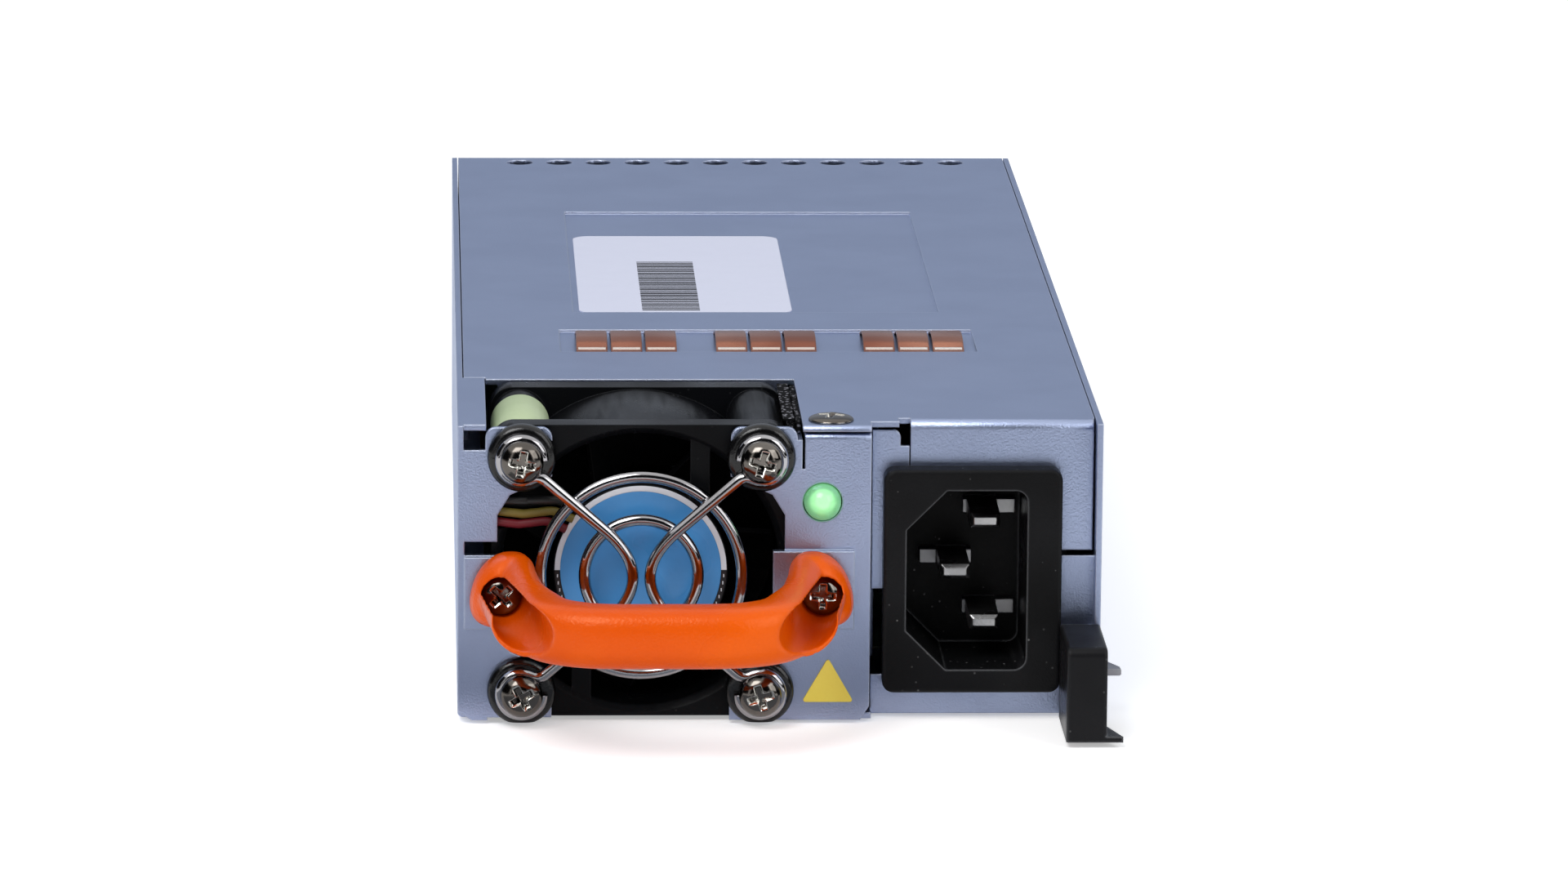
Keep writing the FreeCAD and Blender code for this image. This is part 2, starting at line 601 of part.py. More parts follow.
def round_edges(body, radius, chosen, kind="Fillet"):
    """Fillet or chamfer the edges of the body that a test picks out."""
    names = [f"Edge{i}" for i, edge in enumerate(body.Shape.Edges, start=1) if chosen(edge)]
    if not names:
        raise ValueError(f"no edge of {body.Label} to round")
    base = body.Tip
    feature = body.newObject(f"PartDesign::{kind}", kind)
    feature.Base = (base, names)
    feature.setExpression("Radius" if kind == "Fillet" else "Size", bound(radius))
    DOC.recompute()
    if "Invalid" in feature.State:
        raise ValueError(f"{kind} of {radius} fails on {body.Label}")
    return feature


def runs_along(edge, axis):
    """True for a straight edge that is parallel to X, Y or Z."""
    if not isinstance(edge.Curve, Part.Line):
        return False
    direction = edge.Curve.Direction
    return abs(abs(getattr(direction, axis)) - 1) < 1e-6


def middle(edge):
    """The point halfway along an edge."""
    return edge.valueAt((edge.FirstParameter + edge.LastParameter) / 2)


def near(value, target):
    """True where two lengths agree to a hundredth of a millimetre."""
    return abs(value - target) < 0.01


def code_part(label, shape):
    """A sub-part whose shape code makes."""
    feature = DOC.addObject("Part::Feature", label)
    feature.Label = label
    feature.Shape = shape
    feature.Placement = shape.Placement
    PARTS.append(feature)
    return feature


def block(label, low, high):
    """A plain rectangular sub-part between two corners given as expressions."""
    box = DOC.addObject("Part::Box", label)
    box.Label = label
    for side, lower, upper in zip(("Length", "Width", "Height"), low, high):
        box.setExpression(side, bound(f"({upper}) - ({lower})"))
    for axis, lower in zip("xyz", low):
        box.setExpression(f"Placement.Base.{axis}", bound(lower))
    PARTS.append(box)
    return box


def tube(start, direction, length, outer, inner=0.0):
    """A cylinder or a pipe as a shape, by its diameters."""
    solid = Part.makeCylinder(outer / 2, length, start, direction)
    if inner:
        solid = solid.cut(Part.makeCylinder(inner / 2, length, start, direction))
    return solid


def pan_screw(head, rise, shank, length):
    """A pan-head screw: head towards -Y, shank towards +Y, seat at the origin."""
    forward = FreeCAD.Vector(0, -1, 0)
    seat = FreeCAD.Vector(0, 0, 0)
    drum = Part.makeCylinder(head / 2, rise / 2, seat, forward)
    crown = Part.makeCone(head / 2, head / 3, rise / 2, forward * (rise / 2), forward)
    stem = Part.makeCylinder(shank / 2, length, seat, -forward)
    return drum.fuse([crown, stem]).removeSplitter()


def placed(shape, position, axis=FreeCAD.Vector(0, 0, 1), turn=0.0):
    """A copy of a shape, turned about an axis through the origin and moved."""
    copy = shape.copy()
    copy.rotate(FreeCAD.Vector(0, 0, 0), axis, turn)
    copy.translate(position)
    return copy


def wire_section(centre, heading, diameter):
    """The wire's outline across its run: a regular polygon as large as the round wire."""
    heading = FreeCAD.Vector(heading).normalize()
    side = heading.cross(FreeCAD.Vector(0, 0, 1))
    if side.Length < 0.1:
        side = FreeCAD.Vector(1, 0, 0)
    side.normalize()
    upward = side.cross(heading)
    sides = count("wire_sides")
    corners = []
    for number in range(sides):
        angle = 2 * math.pi * (number + 0.5) / sides
        corners.append(centre + (side * math.cos(angle) + upward * math.sin(angle)) * diameter / 2)
    return Part.makePolygon(corners + corners[:1])


def wire_ring(centre, diameter, wire):
    """A closed ring of wire round an axis along Y."""
    start = centre + FreeCAD.Vector(diameter / 2, 0, 0)
    section = wire_section(start, FreeCAD.Vector(0, 0, 1), wire)
    return Part.Face(section).revolve(centre, FreeCAD.Vector(0, 1, 0), 360)


def bent_wire(points, radii, diameter):
    """A wire through points, with a tangent arc of the given radius at each inner one."""
    edges = []
    start = points[0]
    for before, corner, after, radius in zip(points, points[1:], points[2:], radii):
        inward = (before - corner).normalize()
        outward = (after - corner).normalize()
        half = inward.getAngle(outward) / 2
        setback = radius / math.tan(half)
        first = corner + inward * setback
        last = corner + outward * setback
        bisector = (inward + outward).normalize()
        crown = corner + bisector * (radius / math.sin(half) - radius)
        edges.append(Part.makeLine(start, first))
        edges.append(Part.Arc(first, crown, last).toShape())
        start = last
    edges.append(Part.makeLine(start, points[-1]))
    path = Part.Wire(edges)
    section = wire_section(points[0], points[1] - points[0], diameter)
    return path.makePipeShell([section], True, False)


# ---------------------------------------------------------------- sheet-metal case
def make_chassis():
    """U-shaped tray: bottom, side walls, top strip and the front flange round the inlet."""
    body = new_body("chassis")
    left, right = from_left("0"), from_left("case_width")
    add(body, UPRIGHT, from_front("0"), "case_length",
        polygon((left, "0"), (right, "0"), (right, "case_height"),
                (f"{right} - sheet", "case_height"), (f"{right} - sheet", "sheet"),
                (f"{left} + sheet", "sheet"), (f"{left} + sheet", "case_height"),
                (left, "case_height")))
    add(body, FLAT, TOP_SHEET, "sheet",
        rectangle(f"{left} + sheet / 2", from_front("sheet + seam_gap"),
                  f"{left} + top_strip_width", from_front("top_strip_length")))
    # the inlet side stands back behind the front plane, and the bracket's plate closes the rest
    cut(body, UPRIGHT, from_front("0"), "plate_setback",
        rectangle(from_left(DIVIDER), "0", f"{right} - sheet", "sheet"))
    cut(body, UPRIGHT, from_front("0"), "wall_setback",
        rectangle(f"{right} - sheet", "0", right, "case_height"))
    cut(body, UPRIGHT, from_front("0"), "sheet",
        rectangle(from_left("window_right"), "0", from_left(DIVIDER), "sheet"))
    # window under the fan
    cut(body, FLAT, "0", "sheet",
        rectangle(from_left("window_left"), from_front("0"), from_left("window_right"),
                  from_front(WINDOW_BACK)))
    # front flange with its foot, its notch for the leaf and the inlet's cut-out
    notch = from_left("inlet_left + inlet_width + inlet_fit")
    add(body, UPRIGHT, from_front("plate_setback"), "sheet",
        polygon((from_left(DIVIDER), "0"), (notch, "0"), (notch, "lever_notch"),
                (f"{right} - sheet / 2", "lever_notch"), (f"{right} - sheet / 2", "panel_seam"),
                (from_left(f"{DIVIDER} + inlet_bracket_width"), "panel_seam"),
                (from_left(f"{DIVIDER} + inlet_bracket_width"), "panel_foot"),
                (from_left(DIVIDER), "panel_foot")))
    cut(body, UPRIGHT, from_front("plate_setback"), "sheet", inlet_hole())
    # slot for the latch tooth, and holes for the rivets of the leaf
    cut(body, SIDE, from_left("case_width - sheet"), "sheet",
        rectangle(from_front("tooth_front - tooth_slot_gap"), "tooth_bottom - tooth_slot_gap",
                  from_front("tooth_front + tooth_length + tooth_slot_gap"),
                  "tooth_bottom + tooth_height + tooth_slot_gap"))
    cut(body, SIDE, from_left("case_width - sheet"), "sheet",
        *[circle(from_front(place), "leaf_bottom + leaf_height / 2", "rivet_diameter")
          for place in rivet_places()])
    make_left_front(body)
    width = size("case_width")
    round_edges(body, "bend_radius", lambda edge: runs_along(edge, "y")
                and near(middle(edge).z, 0) and near(abs(middle(edge).x), width / 2)
                and edge.Length > width)


def inlet_hole():
    """Outline of the cut-out that the inlet's body passes through."""
    return rectangle(from_left("inlet_left + inlet_margin - inlet_fit"),
                     "inlet_bottom + inlet_margin - inlet_fit",
                     from_left("inlet_left + inlet_width - inlet_margin + inlet_fit"),
                     "inlet_bottom + inlet_height - inlet_margin + inlet_fit")


def make_top_cover():
    """Lid: top sheet with side flanges, front flange, pressed recesses and air holes."""
    body = new_body("top_cover")
    left = from_left("sheet + seam_gap")
    right = from_left("case_width - sheet - seam_gap")
    strip_back = from_front("top_strip_length + seam_gap")
    window_back = from_front(WINDOW_BACK)
    flange_left = from_left(f"{DIVIDER} + inlet_bracket_width + 2 * inlet_bracket_gap")
    step = from_front("plate_setback - sheet + seam_gap")
    add(body, FLAT, TOP_SHEET, "sheet",
        polygon((left, strip_back), (from_left("top_strip_width + seam_gap"), strip_back),
                (from_left("top_strip_width + seam_gap"), window_back),
                (from_left("window_right"), window_back),
                (from_left("window_right"), from_front("0")),
                (from_left("bracket_right"), from_front("0")),
                (from_left("bracket_right"), step),
                (f"{flange_left} - 2 * sheet", step),
                (f"{flange_left} - 2 * sheet", from_front("plate_setback + 2 * sheet")),
                (flange_left, from_front("plate_setback + 2 * sheet")),
                (flange_left, from_front("plate_setback")),
                (f"{right} - seam_gap", from_front("plate_setback")),
                (f"{right} - seam_gap", from_front("plate_setback + 2 * sheet")),
                (right, from_front("plate_setback + 2 * sheet")),
                (right, from_front("case_length")), (left, from_front("case_length"))))
    back = from_front("case_length - sheet - 2 * seam_gap")
    add(body, FLAT, f"{TOP_SHEET} - cover_lip", "cover_lip",
        rectangle(left, strip_back, f"{left} + sheet", back),
        rectangle(f"{right} - sheet", from_front("plate_setback + 2 * sheet"), right, back))
    add(body, UPRIGHT, from_front("plate_setback"), "sheet",
        rectangle(flange_left, "panel_seam + panel_seam_gap", f"{right} - seam_gap", TOP_SHEET))
    add(body, UPRIGHT, window_back, "sheet",
        rectangle(from_left("window_left + 2 * sheet"), f"{TOP_SHEET} - cover_hem",
                  from_left("window_right - sheet"), TOP_SHEET))
    cut(body, UPRIGHT, from_front("plate_setback"), "sheet", inlet_hole())
    press_recess(body, "label_recess_left", "label_recess_front", "label_recess_width",
                 "label_recess_length")
    press_recess(body, "finger_recess_left", "finger_recess_front", "finger_recess_width",
                 "finger_recess_length")
    hole = cut(body, FLAT, TOP_SHEET, "sheet",
               circle(from_left("vent_first"), from_front("case_length - vent_from_rear"),
                      "vent_hole"))
    repeat(body, hole, "H_Axis", "vent_pitch", "vent_count")
    cut(body, FLAT, TOP_SHEET, "sheet",
        circle(from_left("cover_screw_left"), from_front("cover_screw_back"),
               "cover_screw_shank + seam_gap"))
    height = size("case_height")
    for radius, front in (("bend_radius", y_at(0)), ("cover_bend", y_at(size("plate_setback")))):
        round_edges(body, radius, lambda edge: runs_along(edge, "x")
                    and near(middle(edge).z, height) and near(middle(edge).y, front)
                    and edge.Length > size("inlet_bracket_width"))


def press_recess(body, left, front, width, length):
    """Press a shallow rectangular recess into the cover, which bulges as much underneath."""
    edge = "recess_depth"
    add(body, FLAT, f"{TOP_SHEET} - recess_depth", "recess_depth",
        rectangle(from_left(f"{left} - {edge}"), from_front(f"{front} - {edge}"),
                  from_left(f"{left} + {width} + {edge}"),
                  from_front(f"{front} + {length} + {edge}")))
    cut(body, FLAT, "case_height - recess_depth", "recess_depth",
        rectangle(from_left(left), from_front(front), from_left(f"{left} + {width}"),
                  from_front(f"{front} + {length}")))


def fan_hole_places(sides):
    """Fan fixing places on the given sides (-1 left, 1 right), as expressions."""
    return [(from_left(f"fan_from_left + {side} * fan_hole_spacing / 2"),
             f"{FAN_HEIGHT} + {level} * fan_hole_spacing / 2")
            for side in sides for level in (-1, 1)]


def opening_contour(side, edge, tab_end):
    """Points up the edge of the fan opening, from the lower tab's inner end to the upper one's."""
    def across(place):
        return f"{FAN_LEFT} + {side} * (fan_from_left - {place})"

    steps = (("opening_height", tab_end), ("opening_corner_height", across("opening_corner")),
             ("opening_side_height", across("opening_side")))
    lower = [(place, f"{FAN_HEIGHT} - {height} / 2") for height, place in steps]
    upper = [(place, f"{FAN_HEIGHT} + {height} / 2") for height, place in reversed(steps)]
    return [(tab_end, edge)] + lower + upper + [(tab_end, "tab_top")]


def drill_front(body, side, screw_across):
    """Cut the grommet holes and the handle screw's hole into a front plate."""
    cut(body, UPRIGHT, from_front("0"), "sheet",
        *[circle(across, up, "grommet_neck") for across, up in fan_hole_places([side])])
    cut(body, UPRIGHT, from_front("-boss_rise"), "boss_rise + sheet",
        circle(from_left(screw_across), "handle_screw_height", "handle_screw_shank"))


def round_tabs(body):
    """Round the upper corners of the tabs that hold the fan."""
    top, depth = size("tab_top"), y_at(size("sheet") / 2)
    round_edges(body, "bend_radius * 2", lambda edge: runs_along(edge, "y")
                and near(middle(edge).z, top) and near(middle(edge).y, depth))


def make_left_front(body):
    """Front flange bent from the left wall: corner tabs, pad and the left handle boss."""
    left = from_left("sheet / 2")
    tab_left = from_left("tab_left")
    contour = opening_contour(-1, "sheet / 2", from_left("tab_left + tab_width"))
    add(body, UPRIGHT, from_front("0"), "sheet",
        polygon((left, "sheet / 2"), *contour, (tab_left, "tab_top"),
                (tab_left, "bracket_pad_top"), (left, "bracket_pad_top")))
    round_tabs(body)
    add(body, UPRIGHT, from_front("-boss_rise"), "boss_rise + sheet / 2",
        rectangle(from_left("bracket_left"), "boss_bottom",
                  from_left("bracket_left + left_boss_width"), "boss_bottom + left_boss_height"))
    drill_front(body, -1, "handle_screw_left")
    cut(body, UPRIGHT, from_front("0"), "sheet",
        rectangle(from_left("bracket_left"), "pad_slot_bottom",
                  from_left("opening_corner"), "pad_slot_bottom + pad_slot_height"))
    cut(body, UPRIGHT, from_front("0"), "corner_relief",
        polygon((from_left("0"), "0"), (from_left("corner_relief"), "0"),
                (from_left("0"), "corner_relief_height")))


def make_front_bracket():
    """Sheet between fan and inlet: right-hand tabs, boss, lamp plate, shelf and two walls."""
    body = new_body("front_bracket")
    right = from_left("bracket_right")
    tab_right = from_left("2 * fan_from_left - tab_left")
    tab_left = f"{tab_right} - tab_width"
    relief = f"{tab_right} + tab_relief"
    shelf_top = f"{SHELF} + sheet"
    contour = opening_contour(1, "0", tab_left)
    add(body, UPRIGHT, from_front("0"), "sheet",
        polygon(*contour, (tab_right, "tab_top"), (tab_right, "tab_relief_bottom"),
                (relief, "tab_relief_bottom"), (relief, shelf_top), (right, shelf_top),
                (right, "corner_relief"), (f"{right} - corner_relief_height", "0")))
    round_tabs(body)
    add(body, UPRIGHT, from_front("-boss_rise"), "boss_rise + sheet / 2",
        rectangle(from_left("right_boss_left"), "boss_bottom",
                  from_left("right_boss_left + right_boss_width"),
                  "boss_bottom + right_boss_height"))
    drill_front(body, 1, "handle_screw_left + handle_screw_spacing")
    # shelf under the cover, wall beside the fan and wall beside the inlet
    add(body, FLAT, SHELF, "sheet",
        rectangle(relief, from_front("0"), right, from_front("bracket_shelf")))
    add(body, SIDE, from_left(BAY_WALL), "sheet",
        rectangle(from_front("0"), "sheet + seam_gap", from_front("bay_wall_depth"), SHELF))
    add(body, SIDE, f"{right} - sheet", "sheet",
        rectangle(from_front("0"), "corner_relief", from_front("bracket_return"), shelf_top))
    shelf_level = size("case_height") - size("sheet") - size("shelf_gap")
    round_edges(body, "bend_radius", lambda edge: runs_along(edge, "x")
                and near(middle(edge).z, shelf_level) and near(middle(edge).y, y_at(0)))
    cut(body, UPRIGHT, from_front("0"), "sheet",
        circle(from_left("lamp_from_left"), LAMP_HEIGHT, "lamp_diameter + 2 * lamp_fit"))
    cut(body, FLAT, SHELF, "sheet",
        circle(from_left("cover_screw_left"), from_front("cover_screw_back"),
               "cover_screw_shank"))


def make_inlet_bracket():
    """Plate to the left of the inlet and the wall that divides inlet side from fan side."""
    body = new_body("inlet_bracket")
    left = from_left(DIVIDER)
    right = f"{left} + inlet_bracket_width + 2 * inlet_bracket_gap - seam_gap"
    step = f"{INLET_BRACKET_TOP} - inlet_bracket_step_drop"
    top = size("case_height") - size("sheet") - size("inlet_bracket_drop")
    add(body, UPRIGHT, from_front("plate_setback"), "sheet",
        polygon((left, "inlet_bracket_bottom"), (right, "inlet_bracket_bottom"), (right, step),
                (f"{right} - inlet_bracket_step", step),
                (f"{right} - inlet_bracket_step", INLET_BRACKET_TOP), (left, INLET_BRACKET_TOP)))
    round_edges(body, "bend_radius * 1.5", lambda edge: runs_along(edge, "y")
                and near(middle(edge).z, top)
                and middle(edge).x > x_at(size("bracket_right") + 1))
    recess = from_front("plate_setback + inlet_bracket_recess")
    add(body, SIDE, left, "sheet",
        polygon((from_front("plate_setback"), "inlet_bracket_bottom"),
                (recess, "inlet_bracket_bottom"), (recess, "panel_foot + seam_gap"),
                (from_front("inlet_bracket_depth"), "panel_foot + seam_gap"),
                (from_front("inlet_bracket_depth"), INLET_BRACKET_TOP),
                (from_front("plate_setback"), INLET_BRACKET_TOP)))
    cut(body, UPRIGHT, from_front("plate_setback"), "sheet", inlet_hole())


def make_rear_panel():
    """Rear sheet with air holes and the slot for the contact tongue."""
    body = new_body("rear_panel")
    add(body, UPRIGHT, from_front("case_length - sheet"), "sheet",
        rectangle(from_left("sheet + seam_gap"), "sheet + seam_gap",
                  from_left("case_width - sheet - seam_gap"), f"{TOP_SHEET} - seam_gap"))
    cut(body, UPRIGHT, from_front("case_length - sheet"), "sheet",
        rectangle(from_left("tongue_left - tongue_slot_gap"), "tongue_height - tongue_slot_gap",
                  from_left("tongue_left + tongue_width + tongue_slot_gap"),
                  "tongue_height + board_thickness + tongue_slot_gap"))
    for level in range(count("rear_vent_rows")):
        hole = cut(body, UPRIGHT, from_front("case_length - sheet"), "sheet",
                   circle(from_left("rear_vent_left"),
                          f"rear_vent_bottom + {level} * vent_pitch", "vent_hole"))
        repeat(body, hole, "H_Axis", "vent_pitch", "rear_vent_columns")


def make_cover_screw():
    """Flat-headed screw that holds the cover's front edge to the bracket's shelf."""
    head, rise = size("cover_screw_head"), size("sheet")
    screw = pan_screw(head, rise, size("cover_screw_shank"), size("cover_screw_length"))
    upright = placed(screw, FreeCAD.Vector(0, 0, 0), FreeCAD.Vector(1, 0, 0), -90)
    seat = FreeCAD.Vector(x_at(size("cover_screw_left")), y_at(size("cover_screw_back")),
                          size("case_height"))
    code_part("cover_screw", placed(upright, seat))


# ---------------------------------------------------------------- fan
def make_fan_frame():
    """Moulded frame: two flanges, barrel, corner columns, struts, motor base and bearing tube."""
    body = new_body("fan_frame")
    low_x, high_x = f"{FAN_LEFT} - fan_size / 2", f"{FAN_LEFT} + fan_size / 2"
    low_z, high_z = f"{FAN_HEIGHT} - fan_size / 2", f"{FAN_HEIGHT} + fan_size / 2"
    front = from_front(FAN_SETBACK)
    back = from_front(f"{FAN_SETBACK} + fan_depth - fan_flange")
    add(body, UPRIGHT, front, "fan_depth", circle(FAN_LEFT, FAN_HEIGHT, "fan_barrel"))
    for start in (front, back):
        add(body, UPRIGHT, start, "fan_flange", rectangle(low_x, low_z, high_x, high_z))
    half = size("fan_size") / 2
    centre = fan_axis(0)
    round_edges(body, "fan_corner", lambda edge: runs_along(edge, "y")
                and near(abs(middle(edge).x - centre.x), half)
                and near(abs(middle(edge).z - centre.z), half))
    places = fan_hole_places([-1, 1])
    add(body, UPRIGHT, from_front(f"{FAN_SETBACK} + fan_flange / 2"), "fan_depth - fan_flange",
        *[circle(across, up, "fan_column") for across, up in places])
    cut(body, UPRIGHT, front, "fan_depth", circle(FAN_LEFT, FAN_HEIGHT, "fan_bore"))
    cut(body, UPRIGHT, front, "fan_depth",
        *[circle(across, up, "fan_hole") for across, up in places])
    bore = size("fan_bore") / 2
    round_edges(body, "fan_flange / 4", lambda edge: isinstance(edge.Curve, Part.Circle)
                and near(edge.Curve.Radius, bore)
                and near(edge.Curve.Center.y, fan_front()), "Chamfer")
    cut(body, UPRIGHT, front, "fan_flange",
        rectangle(f"{low_x} - fan_lead", "lead_notch_top - lead_notch_height",
                  from_left("opening_corner + fan_flange"), "lead_notch_top"))
    base = from_front(f"{FAN_SETBACK} + motor_base_inset")
    add(body, UPRIGHT, base, "motor_base_depth", circle(FAN_LEFT, FAN_HEIGHT, "motor_base"))
    reach = "(fan_bore + fan_barrel) / 4"
    strut = add(body, UPRIGHT, base, "motor_base_depth",
                rectangle(f"-{reach}", "strut_offset", "0", "strut_offset + strut_width"),
                centre=(FAN_LEFT, FAN_HEIGHT))
    spin(body, strut, "strut_count")
    tube_start = from_front(f"{FAN_SETBACK} + motor_base_inset + motor_base_depth / 2")
    add(body, UPRIGHT, tube_start, "bearing_tube_length",
        circle(FAN_LEFT, FAN_HEIGHT, "bearing_tube"))
    cut(body, UPRIGHT, from_front(f"{FAN_SETBACK} + motor_base_inset + motor_base_depth"),
        "bearing_tube_length", circle(FAN_LEFT, FAN_HEIGHT, "bearing_bore"))


def make_fan_rotor():
    """Rotor cup, closed at the rear, with its twisted blades."""
    cup_front = fan_front() + size("motor_base_inset") + size("motor_base_depth") + size("rotor_gap")
    backward = FreeCAD.Vector(0, 1, 0)
    outer, wall, depth = size("rotor_hub"), size("rotor_wall"), size("rotor_depth")
    cup = Part.makeCylinder(outer / 2, depth, fan_axis(cup_front), backward)
    hollow = Part.makeCylinder(outer / 2 - wall, depth - 2 * wall, fan_axis(cup_front), backward)
    shaft_hole = Part.makeCylinder(size("shaft_diameter") / 2, depth, fan_axis(cup_front), backward)
    cup = cup.cut(hollow).cut(shaft_hole)
    rim = [edge for edge in cup.Edges if isinstance(edge.Curve, Part.Circle)
           and near(edge.Curve.Radius, outer / 2) and near(edge.Curve.Center.y, cup_front + depth)]
    cup = cup.makeFillet(wall, rim)
    tip = size("fan_bore") / 2 - size("blade_tip_gap")
    sweep = Part.makeCylinder(tip, depth, fan_axis(cup_front), backward)
    sweep = sweep.cut(Part.makeCylinder(outer / 2 - wall / 2, depth, fan_axis(cup_front), backward))
    middle_depth = cup_front + depth / 2
    blade = Part.makeLoft([blade_section(share, middle_depth) for share in (0, 1)], True, True)
    blade = blade.common(sweep)
    rotor = cup
    for number in range(count("blade_count")):
        turned = blade.copy()
        turned.rotate(fan_axis(0), backward, 360 * number / count("blade_count"))
        rotor = rotor.fuse(turned)
    code_part("fan_rotor", rotor)


def blade_section(share, depth):
    """Cambered cross-section of a blade, from the hub (0) out past the tip (1)."""
    root, tip = size("rotor_hub") / 2 - size("rotor_wall"), size("fan_bore") / 2 + 1
    radius = root + share * (tip - root)
    pitch = size("blade_root_pitch") + share * (size("blade_tip_pitch") - size("blade_root_pitch"))
    half_chord, thickness = size("blade_chord") / 2, size("blade_thickness")
    camber = half_chord / 5
    along = FreeCAD.Vector(math.sin(math.radians(pitch)), math.cos(math.radians(pitch)), 0)
    across = FreeCAD.Vector(-along.y, along.x, 0)
    centre = fan_axis(depth) + FreeCAD.Vector(0, 0, radius)
    steps = (-1, -0.5, 0, 0.5, 1)
    bowed = [centre + along * (step * half_chord) + across * (camber * (1 - step ** 2))
             for step in steps]
    upper = [point + across * thickness / 2 for point in bowed]
    lower = [point - across * thickness / 2 for point in reversed(bowed)]
    return Part.makePolygon(upper + lower + upper[:1])


def make_fan_motor():
    """Shaft, bearings, magnet ring and stator inside the rotor cup."""
    backward = FreeCAD.Vector(0, 1, 0)
    base = fan_front() + size("motor_base_inset") + size("motor_base_depth")
    cup_front = base + size("rotor_gap")
    depth, wall = size("rotor_depth"), size("rotor_wall")
    shaft_start = base + size("shaft_inset")
    shaft = tube(fan_axis(shaft_start), backward, cup_front + depth - shaft_start,
                 size("shaft_diameter"))
    code_part("fan_shaft", shaft)
    tube_end = base - size("motor_base_depth") / 2 + size("bearing_tube_length")
    bearings = [tube(fan_axis(start), backward, size("bearing_width"), size("bearing_bore"),
                     size("shaft_diameter") + 2 * size("shaft_fit"))
                for start in (base, tube_end - size("bearing_width"))]
    code_part("fan_bearings", Part.makeCompound(bearings))
    ring_outer = size("rotor_hub") - 2 * wall
    ring = tube(fan_axis(cup_front + wall), backward, size("magnet_length"), ring_outer,
                ring_outer - 2 * size("magnet_wall"))
    code_part("fan_magnet", ring)
    core_start = cup_front + wall + (size("magnet_length") - size("stator_length")) / 2
    core = tube(fan_axis(core_start), backward, size("stator_length"), size("stator_diameter"),
                size("bearing_tube"))
    slots = []
    for number in range(4):
        slot = Part.makeBox(size("stator_diameter") / 2, size("stator_length"), size("shaft_diameter"),
                            FreeCAD.Vector(size("bearing_tube") / 2 + size("stator_ring"), 0,
                                           -size("shaft_diameter") / 2))
        slot.rotate(FreeCAD.Vector(0, 0, 0), backward, 45 + 90 * number)
        slot.translate(fan_axis(core_start))
        slots.append(slot)
    code_part("fan_stator", core.cut(slots))


def make_hub_label():
    """Round label on the motor base."""
    face = fan_front() + size("motor_base_inset")
    disc = tube(fan_axis(face - size("hub_label_thickness")), FreeCAD.Vector(0, 1, 0),
                size("hub_label_thickness"), size("motor_base") - 2 * size("hub_label_thickness"))
    code_part("hub_label", disc)


def make_grommets():
    """Rubber grommets in the corner tabs; the lower pair is trimmed flush with the case."""
    backward = FreeCAD.Vector(0, 1, 0)
    sheet, front, back = size("sheet"), size("grommet_front"), size("grommet_back")
    floor = Part.makeBox(size("case_width"), size("case_length"), size("grommet_rim"),
                         FreeCAD.Vector(x_at(0), y_at(0) - size("grommet_rim"),
                                        -size("grommet_rim")))
    rubbers = []
    for across, up in fan_corners():
        start = FreeCAD.Vector(across, y_at(0) - front, up)
        rim = tube(start, backward, front, size("grommet_rim"))
        edge = [line for line in rim.Edges if isinstance(line.Curve, Part.Circle)
                and near(line.Curve.Center.y, start.y)]
        rim = rim.makeChamfer(front / 3, edge)
        neck = tube(start, backward, front + sheet + back, size("grommet_neck"))
        collar = tube(start + backward * (front + sheet), backward, back,
                      size("grommet_rim") - front)
        bore = tube(start - backward, backward, front + sheet + back + 2, size("grommet_bore"))
        rubbers.append(rim.fuse([neck, collar]).cut(bore).cut(floor))
    code_part("fan_grommets", Part.makeCompound(rubbers))


def guard_plane():
    """Row Y of the centre line of the guard's eyes and bent wires."""
    return y_at(0) - size("grommet_front") - size("guard_wire") / 2


def guard_route(side, depth):
    """Where a bent wire leaves its upper eye, and the corner that its bend rounds off."""
    centre = fan_axis(depth)
    half_spacing = size("fan_hole_spacing") / 2
    eye = FreeCAD.Vector(centre.x + side * half_spacing, depth, centre.z + half_spacing)
    waist = centre.x + side * size("guard_waist") / 2
    corner = FreeCAD.Vector(waist, depth, centre.z)
    for _ in range(GUARD_STEPS):
        top = eye + (corner - eye).normalize() * (size("guard_eye") / 2)
        slope = math.atan2(top.z - corner.z, abs(corner.x - top.x))
        corner.x = waist - side * size("guard_bend") * (1 / math.sin(slope) - 1)
    return top, corner


def make_finger_guard():
    """Chromed wire guard: two bent wires with eyes at their ends, welded over two rings."""
    wire, depth = size("guard_wire"), guard_plane()
    ring_depth = depth + wire - size("guard_weld")
    solids = [wire_ring(fan_axis(ring_depth), diameter, wire)
              for diameter in (size("guard_outer_ring"), size("guard_inner_ring"))]
    for across, up in fan_corners():
        solids.append(wire_ring(FreeCAD.Vector(across, depth, up), size("guard_eye"), wire))
    for side in (-1, 1):
        top, corner = guard_route(side, depth)
        bottom = FreeCAD.Vector(top.x, depth, 2 * corner.z - top.z)
        solids.append(bent_wire([top, corner, bottom], [size("guard_bend")], wire))
    guard = solids[0]
    for solid in solids[1:]:
        guard = guard.fuse(solid)
    code_part("finger_guard", guard)


def make_fan_screws():
    """Four screws through guard eyes and grommets into the fan."""
    screw = pan_screw(size("fan_screw_head"), size("fan_screw_rise"), size("fan_screw_shank"),
                      size("fan_screw_length"))
    seat = guard_plane() - size("guard_wire") / 2
    screws = [placed(screw, FreeCAD.Vector(across, seat, up), FreeCAD.Vector(0, 1, 0), 25 * number)
              for number, (across, up) in enumerate(fan_corners())]
    code_part("fan_screws", Part.makeCompound(screws))


